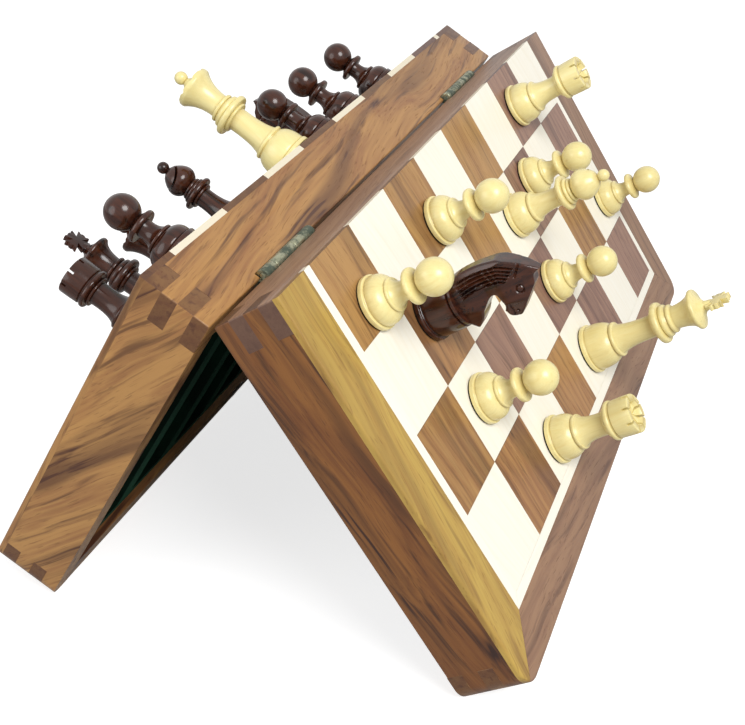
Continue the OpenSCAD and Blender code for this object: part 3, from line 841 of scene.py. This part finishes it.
# %% Tarnish
def tarnish_group():
    group = bpy.data.node_groups.new("tarnish", "ShaderNodeTree")
    socket(group, "Clean", "NodeSocketColor", "INPUT")
    socket(group, "Dull", "NodeSocketColor", "INPUT")
    socket(group, "Amount", "NodeSocketFloat", "INPUT", 0.5)
    socket(group, "Polish", "NodeSocketFloat", "INPUT", 0.3)
    for name in ("Color", "Metal", "Roughness", "Height"):
        socket(group, name, "NodeSocketColor" if name == "Color" else "NodeSocketFloat", "OUTPUT")
    nodes, links = group.nodes, group.links
    given = nodes.new("NodeGroupInput")
    result = nodes.new("NodeGroupOutput")
    place = nodes.new("ShaderNodeTexCoord").outputs["Object"]
    clouds = noise_node(nodes, links, place, 260, 5).outputs["Fac"]
    specks = noise_node(nodes, links, place, 1500, 3).outputs["Fac"]
    blend = math_node(nodes, links, "ADD", math_node(nodes, links, "MULTIPLY", clouds, 0.7),
                      math_node(nodes, links, "MULTIPLY", specks, 0.3))
    edge = math_node(nodes, links, "SUBTRACT", 1.0, given.outputs["Amount"])
    dull = ramp_node(nodes, links, math_node(nodes, links, "SUBTRACT", blend, edge), -0.1, 0.12)
    links.new(mix_node(nodes, links, dull, given.outputs["Clean"], given.outputs["Dull"]),
              result.inputs["Color"])
    links.new(math_node(nodes, links, "SUBTRACT", 1.0, math_node(nodes, links, "MULTIPLY", dull, 0.6)),
              result.inputs["Metal"])
    links.new(math_node(nodes, links, "ADD", given.outputs["Polish"],
                        math_node(nodes, links, "MULTIPLY", dull, 0.3)), result.inputs["Roughness"])
    links.new(math_node(nodes, links, "MULTIPLY", specks, dull), result.inputs["Height"])
    return group


TARNISH = tarnish_group()


def metal(name, clean, dull, amount, polish):
    material = bpy.data.materials.new(name)
    material.use_nodes = True
    nodes, links = material.node_tree.nodes, material.node_tree.links
    shader = nodes["Principled BSDF"]
    skin = nodes.new("ShaderNodeGroup")
    skin.node_tree = TARNISH
    skin.inputs["Clean"].default_value = (*clean, 1)
    skin.inputs["Dull"].default_value = (*dull, 1)
    skin.inputs["Amount"].default_value = amount
    skin.inputs["Polish"].default_value = polish
    links.new(skin.outputs["Color"], shader.inputs["Base Color"])
    links.new(skin.outputs["Metal"], shader.inputs["Metallic"])
    links.new(skin.outputs["Roughness"], shader.inputs["Roughness"])
    bump = nodes.new("ShaderNodeBump")
    bump.inputs["Strength"].default_value = 0.3
    bump.inputs["Distance"].default_value = 0.05 * mm
    links.new(skin.outputs["Height"], bump.inputs["Height"])
    links.new(bump.outputs[0], shader.inputs["Normal"])
    return material


BRASS = metal("aged_brass", (0.40, 0.40, 0.27), (0.065, 0.085, 0.060), 0.52, 0.28)
NICKEL = metal("nickel_plate", (0.62, 0.61, 0.58), (0.38, 0.37, 0.35), 0.35, 0.18)
SHEET_STEEL = metal("sheet_steel", (0.50, 0.51, 0.52), (0.30, 0.29, 0.28), 0.45, 0.35)

# %% Round bars
def bar(radius, start, end, segments=48, rim=0.0):
    """A round bar between two places, with its rims bevelled."""
    bm = bmesh.new()
    bmesh.ops.create_cone(bm, cap_ends=True, segments=segments, radius1=radius, radius2=radius,
                          depth=(end - start).length)
    if rim:
        bm.normal_update()
        bevel(bm, [e for e in bm.edges if e.calc_face_angle(0) > 1], rim, 3)
    turn = (end - start).to_track_quat("Z", "Y").to_matrix()
    bmesh.ops.rotate(bm, matrix=turn, verts=bm.verts)
    bmesh.ops.translate(bm, vec=(start + end) / 2, verts=bm.verts)
    return bm


# %% Hinge plates
hinge_l, plate_w, pin_r, knuckle_count, knuckle_gap = 32 * mm, 8 * mm, 1 * mm, 5, 0.2 * mm
knuckle_l = hinge_l / knuckle_count
screw_x, screw_y, screw_r, screw_head_r = 0.6 * plate_w, 0.3 * hinge_l, 1 * mm, 1.9 * mm
HINGE_Y = {}
for end in ("near", "far"):
    low, high = flat_box("right", f"{end}_hinge_right_plate")
    HINGE_Y[end] = (low.y + high.y) / 2


def on_hinge_line(y):
    return Vector((-hinge_back, y, -hinge_rim))


def knuckle(y, number, radius, rim, grow=0.0):
    top = y + hinge_l / 2 - number * knuckle_l - knuckle_gap / 2 + grow
    bottom = top - knuckle_l + knuckle_gap - 2 * grow
    return bar(radius, on_hinge_line(bottom), on_hinge_line(top), rim=rim)


def hinge_plate(side, y):
    own = range(0 if side == "right" else 1, knuckle_count, 2)
    bm = block(Vector((0, y - hinge_l / 2, 0)), Vector((plate_w, y + hinge_l / 2, plate_t)))
    bevel(bm, list(bm.edges), 0.12 * mm, 2)
    carve(bm, [knuckle(y, i, knuckle_r, 0.15 * mm) for i in own], "UNION")
    cutters = [knuckle(y, i, knuckle_r + 0.35 * mm, 0, knuckle_gap) for i in range(knuckle_count)
               if i not in own]
    cutters.append(bar(pin_r + 0.05 * mm, on_hinge_line(y - hinge_l), on_hinge_line(y + hinge_l)))
    for way in (-1, 1):
        sink = bmesh.new()
        bmesh.ops.create_cone(sink, cap_ends=True, segments=40, radius1=screw_head_r + 0.1 * mm,
                              radius2=screw_r + 0.2 * mm, depth=plate_t)
        bmesh.ops.translate(sink, vec=(screw_x, y + way * screw_y, plate_t / 2), verts=sink.verts)
        cutters.append(sink)
        middle_y = y + way * screw_y
        cutters.append(bar(screw_r + 0.2 * mm, Vector((screw_x, middle_y, -plate_t)),
                           Vector((screw_x, middle_y, 2 * plate_t))))
    carve(bm, cutters)
    return bm


for end, y in HINGE_Y.items():
    for side in ("right", "left"):
        finish_piece(hinge_plate(side, y), f"{end}_{side}_hinge_leaf", BRASS, f"{side}_leaf",
                     [f"{end}_hinge_{side}_plate"], TRAY[side])
    half_pin = hinge_l / 2 - knuckle_gap / 2
    pin = bar(pin_r, on_hinge_line(y - half_pin), on_hinge_line(y + half_pin), rim=0.25 * mm)
    finish_piece(pin, f"{end}_pin", BRASS, "right_leaf", [f"{end}_hinge_pin"],
                 TRAY["right"])

# %% [markdown]
# A wood screw is a profile spun about its axis: a flat head with a cone under it, a shank and a
# point. The driver slot is cut afterwards.

# %% Screws, magnets and hidden sheets
def lathe(profile, segments=64):
    """Spins a list of (radius, height) points about Z, and closes it on the axis."""
    bm = bmesh.new()
    # Painted shade: how hollow the profile is at each point is written to an attribute that darkens the wood
    # there.
    recess = bm.verts.layers.float.new("recess")
    verts = [bm.verts.new((radius, 0, height)) for radius, height in profile]
    edges = [bm.edges.new(pair) for pair in zip(verts, verts[1:])]
    for before, vert, after in zip(profile, verts[1:], profile[2:]):
        chord = max(math.dist(before, after), 1e-6)
        hollow = ((before[0] + after[0]) / 2 - vert.co.x) / chord
        vert[recess] = min(1.0, max(0.0, 2.5 * hollow - 0.1))
    bmesh.ops.spin(bm, geom=verts + edges, cent=(0, 0, 0), axis=(0, 0, 1), angle=math.tau,
                   steps=segments, use_merge=True)
    bmesh.ops.remove_doubles(bm, verts=bm.verts, dist=0.002 * mm)
    bmesh.ops.recalc_face_normals(bm, faces=bm.faces)
    return bm


for side in ("right", "left"):
    screws = bmesh.new()
    for y in HINGE_Y.values():
        for way in (-1, 1):
            screw = lathe([(0, 0.1 * mm), (screw_head_r - 0.2 * mm, 0.1 * mm),
                           (screw_head_r - 0.1 * mm, 0.17 * mm), (screw_r - 0.1 * mm, plate_t - 0.1 * mm),
                           (screw_r - 0.1 * mm, 6.5 * mm), (0, 7.7 * mm)], 32)
            carve(screw, [block(Vector((-2, -0.25, -0.2)) * mm, Vector((2, 0.25, 0.4)) * mm)])
            bmesh.ops.translate(screw, vec=(screw_x, y + way * screw_y, 0), verts=screw.verts)
            merge_into(screws, screw)
    finish_piece(screws, f"{side}_screws", BRASS, f"{side}_leaf",
                 [f"{side}_hinge_screws"], TRAY[side])
    low, high = flat_box(side, f"{side}_catch_magnet")
    centre = (low + high) / 2
    magnet = bar((high.x - low.x) / 2, Vector((centre.x, 0, low.z)), Vector((centre.x, 0, high.z)),
                 rim=0.3 * mm)
    finish_piece(magnet, f"{side}_magnet", NICKEL, f"{side}_leaf",
                 [f"{side}_catch_magnet"], TRAY[side])
    frame["nodes"][f"{side}_steel_sheet"].data.materials.clear()
    frame["nodes"][f"{side}_steel_sheet"].data.materials.append(SHEET_STEEL)


def plywood():
    """Pale birch, for the hidden sheet that carries the squares."""
    material = bpy.data.materials.new("birch_plywood")
    material.use_nodes = True
    nodes, links = material.node_tree.nodes, material.node_tree.links
    shader = nodes["Principled BSDF"]
    place = nodes.new("ShaderNodeTexCoord").outputs["Object"]
    fibre = noise_node(nodes, links, place, 500, 4, (1, 0.05, 1)).outputs["Fac"]
    links.new(mix_node(nodes, links, fibre, (0.62, 0.45, 0.26, 1), (0.47, 0.31, 0.16, 1)),
              shader.inputs["Base Color"])
    shader.inputs["Roughness"].default_value = 0.6
    return material


PLYWOOD = plywood()
for side in ("right", "left"):
    frame["nodes"][f"{side}_deck_panel"].data.materials.clear()
    frame["nodes"][f"{side}_deck_panel"].data.materials.append(PLYWOOD)
print("hardware made")

# %% [markdown]
# ## The turned men
#
# A man is turned on a lathe, so his shape is a half profile spun about his axis. The profile is
# put together from curves and beads. Where a profile is hollow, the lathe also notes it in an
# attribute, and the wood is painted darker there: this is painted shade in the hollows. The foot
# has a felt disc under it and a bore for a magnet.

# %% Profiles
felt_t, foot_gap, magnet_t = 0.6 * mm, 0.05 * mm, 2 * mm
foot_z = felt_t + foot_gap


def curve(start, control, end, steps=14):
    """A bent stretch of a profile, from start to end, pulled towards control."""
    made = []
    for i in range(steps + 1):
        t = i / steps
        made.append(tuple((1 - t) ** 2 * a + 2 * t * (1 - t) * c + t * t * b
                          for a, c, b in zip(start, control, end)))
    return made


def bead(r, z, t, steps=8):
    """A rounded ring of thickness t, out to radius r."""
    deep = 0.45 * t
    return [(r - deep + deep * math.sin(math.pi * i / steps) ** 0.6,
             z + t / 2 - t / 2 * math.cos(math.pi * i / steps)) for i in range(steps + 1)]


def foot(r, bore_r, top_r, top_z):
    """The bore for the magnet, a flat disc, a groove, and a bell up to top_r and top_z."""
    bore_top = foot_z + magnet_t + foot_gap
    corner = 0.3 * mm
    return ([(0, bore_top), (bore_r, bore_top), (bore_r, foot_z)]
            + curve((r - corner, foot_z), (r, foot_z), (r, foot_z + corner), 3)
            + curve((r, foot_z + 1.1 * mm), (r, foot_z + 1.4 * mm), (r - 0.3 * mm, foot_z + 1.42 * mm), 3)
            + [(r - 0.65 * mm, foot_z + 1.5 * mm), (r - 0.8 * mm, foot_z + 1.65 * mm),
               (r - 0.68 * mm, foot_z + 1.85 * mm)]
            + curve((r - 0.6 * mm, foot_z + 2 * mm), (0.95 * r, 0.8 * top_z), (top_r, top_z), 14))


def ball(r, z, start=-1.1, steps=18):
    """A round top: start is the angle in radians where it leaves the neck."""
    turns = [start + (math.pi / 2 - start) * i / steps for i in range(steps + 1)]
    return [(r * math.cos(a), z + r * math.sin(a)) for a in turns[:-1]] + [(0, z + r)]


def in_shares(h, r, points):
    """Points given in shares of the base radius and the height."""
    return [(a * r, b * h) for a, b in points]


# %% The kinds of men
def pawn_profile(h, r, bore_r):
    head_r = 0.207 * h
    return (foot(r, bore_r, 0.6 * r, 0.27 * h) + bead(0.62 * r, 0.275 * h, 0.035 * h)
            + curve((0.52 * r, 0.315 * h), (0.3 * r, 0.38 * h), (0.36 * r, 0.5 * h))
            + bead(0.66 * r, 0.505 * h, 0.06 * h) + ball(head_r, h - head_r, -1.05))


def rook_profile(h, r, bore_r):
    return (foot(r, bore_r, 0.66 * r, 0.295 * h) + bead(0.72 * r, 0.3 * h, 0.04 * h)
            + curve((0.64 * r, 0.345 * h), (0.42 * r, 0.42 * h), (0.48 * r, 0.655 * h))
            + bead(0.62 * r, 0.66 * h, 0.03 * h) + bead(0.8 * r, 0.7 * h, 0.05 * h)
            + in_shares(h, r, [(0.7, 0.755), (0.7, 0.765), (0.76, 0.78), (0.775, 0.88), (0.78, 0.985),
                               (0.77, 0.995), (0.74, 1), (0.52, 1), (0.5, 0.995), (0.44, 0.95),
                               (0, 0.93)]))


def bishop_profile(h, r, bore_r):
    tip_r = 0.055 * h
    return (foot(r, bore_r, 0.62 * r, 0.215 * h) + bead(0.68 * r, 0.22 * h, 0.03 * h)
            + curve((0.58 * r, 0.255 * h), (0.38 * r, 0.34 * h), (0.42 * r, 0.5 * h))
            + bead(0.56 * r, 0.505 * h, 0.025 * h) + bead(0.76 * r, 0.535 * h, 0.04 * h)
            + bead(0.58 * r, 0.58 * h, 0.03 * h) + bead(0.5 * r, 0.615 * h, 0.025 * h)
            + curve((0.38 * r, 0.645 * h), (0.96 * r, 0.73 * h), (0.36 * r, 0.87 * h), 20)
            + ball(tip_r, h - tip_r, -1.0, 12))


def royal_stem(h, r, bore_r):
    return (foot(r, bore_r, 0.66 * r, 0.2 * h) + bead(0.72 * r, 0.205 * h, 0.022 * h)
            + curve((0.62 * r, 0.23 * h), (0.42 * r, 0.3 * h), (0.46 * r, 0.485 * h), 18)
            + bead(0.62 * r, 0.49 * h, 0.02 * h) + bead(0.84 * r, 0.51 * h, 0.04 * h)
            + bead(0.66 * r, 0.555 * h, 0.03 * h) + bead(0.58 * r, 0.6 * h, 0.022 * h))


def queen_profile(h, r, bore_r):
    ball_r = 2.2 * mm
    return (royal_stem(h, r, bore_r)
            + curve((0.46 * r, 0.63 * h), (0.44 * r, 0.75 * h), (0.8 * r, 0.83 * h), 16)
            + in_shares(h, r, [(0.81, 0.838), (0.8, 0.86), (0.78, 0.865), (0.66, 0.865), (0.6, 0.85)])
            + curve((0.5 * r, 0.862 * h), (0.3 * r, 0.885 * h), (0.2 * r, 0.905 * h), 8)
            + ball(ball_r, h - ball_r, -1.0, 14))


def king_profile(h, r, bore_r):
    return (royal_stem(h, r, bore_r)
            + curve((0.46 * r, 0.63 * h), (0.48 * r, 0.74 * h), (0.78 * r, 0.77 * h), 16)
            + curve((0.79 * r, 0.772 * h), (0.82 * r, 0.785 * h), (0.78 * r, 0.793 * h), 4)
            + curve((0.76 * r, 0.795 * h), (0.4 * r, 0.81 * h), (0.22 * r, 0.84 * h), 10)
            + curve((0.22 * r, 0.84 * h), (0.19 * r, 0.86 * h), (0.15 * r, 0.876 * h), 4)
            + [(0, 0.88 * h)])


PROFILES = {"pawn": pawn_profile, "rook": rook_profile, "bishop": bishop_profile,
            "queen": queen_profile, "king": king_profile}

# %% [markdown]
# Some men are finished with a saw and a file. The rook gets four kerfs across his crown, the
# bishop a slanting cut in his mitre, and the queen a coronet of eight round bays. The king's
# cross is a flat one whose arms widen outwards.

# %% Saw cuts and the cross
def turned(bm, axis, degrees):
    bmesh.ops.rotate(bm, matrix=Matrix.Rotation(math.radians(degrees), 3, axis), verts=bm.verts)
    return bm


def moved(bm, x, y, z):
    bmesh.ops.translate(bm, vec=(x, y, z), verts=bm.verts)
    return bm


def centred_block(x, y, z):
    half = Vector((x, y, z)) / 2
    return block(-half, half)


def cut_crown(bm, kind, h, r):
    if kind == "rook":
        carve(bm, [moved(turned(centred_block(2 * r, 0.09 * r, 0.14 * h), "Z", a), 0, 0, h)
                   for a in (0, 45, 90, 135)])
    if kind == "bishop":
        carve(bm, [moved(turned(centred_block(0.8 * r, 2 * r, 0.018 * h), "Y", 35),
                         0.36 * r, 0, 0.8 * h)])
    if kind == "queen":
        bays = []
        for i in range(8):
            bay = bar(0.17 * r, Vector((0.6 * r, 0, 0)), Vector((1.04 * r, 0, 0)), 32)
            bays.append(turned(moved(bay, 0, 0, 0.885 * h), "Z", 45 * i))
        carve(bm, bays)


def cross(h):
    """One arm is a quad that grows outwards from a square hub. Four of them make the cross."""
    arm, t = 0.075 * h, 2 * mm
    whole = centred_block(t, 0.6 * arm, 0.6 * arm)
    for quarter in range(4):
        one = centred_block(t, 0.48 * arm, 0.8 * arm)
        bmesh.ops.translate(one, vec=(0, 0, 0.6 * arm), verts=one.verts)
        outer = [v for v in one.verts if v.co.z > 0.6 * arm]
        bmesh.ops.scale(one, vec=(1, 2.5, 1), verts=outer)
        bays = [bar(0.14 * arm, Vector((-t, way * 0.26 * arm, 1.04 * arm)),
                    Vector((t, way * 0.26 * arm, 1.04 * arm)), 24) for way in (-1, 1)]
        if quarter != 2:
            carve(one, bays)
        carve(whole, [turned(one, "X", 90 * quarter)], "UNION")
    sharp = [e for e in whole.edges if e.is_manifold and e.is_convex and e.calc_face_angle(0) > 0.6]
    bevel(whole, sharp, 0.18 * mm, 2)
    return moved(whole, 0, 0, h - arm)


def felt_and_magnet(bm, r, bore_r):
    """Adds the felt disc and the magnet to a man, as his second and third material."""
    for number, part in (
            (1, bar(r - 0.5 * mm, Vector((0, 0, 0)), Vector((0, 0, felt_t)), 64, 0.12 * mm)),
            (2, bar(bore_r - foot_gap, Vector((0, 0, foot_z)), Vector((0, 0, foot_z + magnet_t)), 48,
                    0.15 * mm))):
        for face in part.faces:
            face.material_index = number
        merge_into(bm, part)


# %% The men's own materials
def felt_material():
    material = bpy.data.materials.new("black_felt")
    material.use_nodes = True
    nodes, links = material.node_tree.nodes, material.node_tree.links
    shader = nodes["Principled BSDF"]
    place = nodes.new("ShaderNodeTexCoord").outputs["Object"]
    links.new(mix_node(nodes, links, noise_node(nodes, links, place, 3000, 3).outputs["Fac"],
                       (0.004, 0.004, 0.004, 1), (0.016, 0.015, 0.014, 1)),
              shader.inputs["Base Color"])
    shader.inputs["Roughness"].default_value = 0.98
    return material


FELT = felt_material()
MEN_WOODS = {
    "light": wood("boxwood", (0.82, 0.72, 0.34), (0.76, 0.62, 0.24), (0.48, 0.33, 0.09),
                  4, 0.25, 0.12, 0.1, 0.5, 0.22, 0.3),
    "dark": wood("rosewood", (0.062, 0.017, 0.007), (0.024, 0.006, 0.003), (0.003, 0.001, 0.001),
                 3, 0.8, 0.7, 0.3, 0.9, 0.12, 0.15),
}


def finish_man(bm, node, side, place, r, bore_r):
    tone = node.split("_")[0]
    lay_grain(bm, 2, node)
    felt_and_magnet(bm, r, bore_r)
    bmesh.ops.translate(bm, vec=place, verts=bm.verts)
    finish_piece(bm, f"{node}_man", [MEN_WOODS[tone], FELT, NICKEL], node,
                 [node], TRAY[side], 30)


# %% Turning them
def man_measures(node):
    """A man's tray, the middle of his foot on the board, his height and the radius of his foot."""
    side = max(TRAY, key=lambda name: flat_box(name, node)[0].z)
    low, high = flat_box(side, node)
    place = Vector(((low.x + high.x) / 2, (low.y + high.y) / 2, low.z))
    return side, place, high.z - low.z, (high.y - low.y) / 2


magnet_share = 0.43
king_r = man_measures("light_king")[3]
bore_r = magnet_share * king_r + foot_gap
MEN = sorted(name for name in frame["nodes"] if name.split("_")[0] in ("light", "dark"))
for node in MEN:
    kind = node.split("_")[1]
    if kind == "knight":
        continue
    side, place, h, r = man_measures(node)
    bm = lathe(PROFILES[kind](h, r, bore_r))
    cut_crown(bm, kind, h, r)
    if kind == "bishop":
        turned(bm, "Z", 90 if side == "right" else -90)
    if kind == "king":
        carve(bm, [cross(h)], "UNION")
    finish_man(bm, node, side, place, r, bore_r)
print("men turned:", len(MEN))

# %% [markdown]
# ## The carved knights
#
# A knight's foot is turned and his horse is carved. The carver saws out the horse's outline from
# the side, the front and above, and so does this cell: three prisms are cut into one another.
# The block is then remeshed and smoothed, and its vertices are pushed in for the mane, the eye,
# the nostril and the mouth. Sizes are in millimetres for a knight 38 mm high.

# %% The horse's outlines
def chain(*stretches):
    """Joins curves, given as (start, control, end, steps), into one outline."""
    return [point for stretch in stretches for point in curve(*stretch)]


def mirrored(points):
    return points + [(-x, y) for x, y in reversed(points)]


CREST = chain(((-6.2, 9.6), (-8.8, 16.5), (-7.8, 24.5), 12), ((-7.4, 27.6), (-4.6, 33.4), (0.2, 37.6), 12))
SIDE_VIEW = CREST + chain(
    ((0.5, 36.2), (0.8, 35.2), (2, 35), 6), ((3.2, 34.6), (6, 31.6), (9, 28.2), 10),
    ((10.2, 26.6), (10, 23.2), (8.2, 23.2), 10), ((7, 23), (5.6, 24.6), (4.4, 23.9), 8),
    ((1.8, 23.4), (0.8, 22), (2.8, 19.8), 8), ((4.8, 17.6), (7, 16.6), (9, 13.2), 8)) + [(6.8, 11.6), (6.2, 9.6)]
FRONT_VIEW = mirrored(chain(((5.4, 9), (4.8, 15), (3.8, 21), 8), ((3.8, 23), (4.1, 28), (3, 33), 8),
                            ((2.6, 35), (1.8, 37), (1.2, 38.4), 6)))
TOP_VIEW = chain(((10.8, -1.8), (6, -3.4), (1.5, -5.6), 8), ((-1, -6), (-6, -4.8), (-9.4, -1), 8),
                 ((-9.4, 1), (-6, 4.8), (-1, 6), 8), ((1.5, 5.6), (6, 3.4), (10.8, 1.8), 8))


def prism(outline, depth, matrix):
    """An outline drawn out along Z by depth to both sides, then turned by a matrix."""
    bm = bmesh.new()
    bm.faces.new([bm.verts.new((x, y, -depth)) for x, y in outline])
    grown = bmesh.ops.extrude_face_region(bm, geom=list(bm.faces))["geom"]
    bmesh.ops.translate(bm, vec=(0, 0, 2 * depth),
                        verts=[v for v in grown if isinstance(v, bmesh.types.BMVert)])
    bmesh.ops.triangulate(bm, faces=bm.faces)
    bmesh.ops.transform(bm, matrix=matrix, verts=bm.verts)
    return bm


def remeshed(bm, voxel):
    """Gives a bmesh an even grid of quads with the voxel remesher."""
    mesh = bpy.data.meshes.new("remeshing")
    bmesh.ops.recalc_face_normals(bm, faces=bm.faces)
    bm.to_mesh(mesh)
    holder = bpy.data.objects.new("remeshing", mesh)
    bpy.context.scene.collection.objects.link(holder)
    grid = holder.modifiers.new("grid", "REMESH")
    grid.mode = "VOXEL"
    grid.voxel_size = voxel
    bpy.context.view_layer.update()
    shape = holder.evaluated_get(bpy.context.evaluated_depsgraph_get())
    bm.clear()
    bm.from_mesh(shape.to_mesh())
    bpy.data.objects.remove(holder)
    bpy.data.meshes.remove(mesh)


# %% Carving the horse
def distance_to(outline, x, y):
    """How far a point is from a line of points."""
    best = 99
    for (ax, ay), (bx, by) in zip(outline, outline[1:]):
        dx, dy = bx - ax, by - ay
        t = max(0, min(1, ((x - ax) * dx + (y - ay) * dy) / max(dx * dx + dy * dy, 1e-9)))
        best = min(best, math.hypot(x - ax - t * dx, y - ay - t * dy))
    return best


def groove(distance, width):
    """How deep a rounded groove is at a distance from its middle, from 0 to 1."""
    return max(0.0, math.cos(min(1.0, abs(distance) / width) * math.pi / 2)) ** 1.5


def carved_depth(x, z):
    """How deep the carver's gouge goes at a place on the horse's flank, in millimetres."""
    deep = 0.0
    from_crest = distance_to(CREST, x, z)
    cheek = (x + 4.6) * (24 - 34) - (z - 34) * (2.4 + 4.6)
    ends = min(1, max(0, (z - 13.5) / 1.5)) * min(1, max(0, cheek / 9))
    if 1.3 < from_crest < 6.6 and x < 3:
        deep = max(deep, 0.75 * groove((from_crest - 1.3) % 1.06 - 0.53, 0.38) * ends)
    deep = max(deep, 0.5 * groove(distance_to([(-5.2, 35), (-3, 32.6), (-0.9, 30.6)], x, z), 0.45))
    eye = math.hypot(x - 2.8, z - 30.4)
    deep = max(deep, 0.45 * groove(eye - 1.05, 0.4))
    deep = max(deep, 0.7 * groove(math.hypot(x - 8.4, z - 26.4), 0.55))
    deep = max(deep, 0.45 * groove(distance_to([(9.4, 24.7), (7.6, 25.2), (5.9, 25.4)], x, z), 0.4))
    return deep


def horse(h):
    """The horse without his foot, in metres, facing X."""
    upright = Matrix.Rotation(math.radians(90), 4, "X")
    facing = Matrix.Rotation(math.radians(90), 4, "Z") @ upright
    bm = prism(SIDE_VIEW, 8, upright)
    carve(bm, [prism(FRONT_VIEW, 12, facing), prism(TOP_VIEW, 40, Matrix())], "INTERSECT")
    remeshed(bm, 0.22)
    for turn in range(8):
        bmesh.ops.smooth_vert(bm, verts=bm.verts, factor=0.5, use_axis_x=True, use_axis_y=True,
                              use_axis_z=True)
    bm.normal_update()
    # Each carved groove also gets painted shade: its depth darkens the wood there.
    recess = bm.verts.layers.float.new("recess")
    for v in bm.verts:
        x, y, z = v.co
        flank = min(1, max(0, (abs(v.normal.y) - 0.1) / 0.3))
        deep = carved_depth(x, z) * flank
        v[recess] = min(1, deep * 2)
        v.co.y -= math.copysign(deep, y)
    bmesh.ops.scale(bm, vec=Vector((1, 1, 1)) * h / 38, verts=bm.verts)
    return bm


# %% Finishing the knights
for node in MEN:
    if node.split("_")[1] != "knight":
        continue
    side, place, h, r = man_measures(node)
    bm = lathe(foot(r, bore_r, 0.9 * r, 0.28 * h)
               + in_shares(h, r, [(0.84, 0.283), (0.82, 0.287), (0.86, 0.292), (0.88, 0.297),
                                  (0.88, 0.316), (0.87, 0.32), (0, 0.32)]))
    carve(bm, [horse(h)], "UNION", merge_flat=False)
    finish_man(bm, node, side, place, r, bore_r)
print("knights carved")
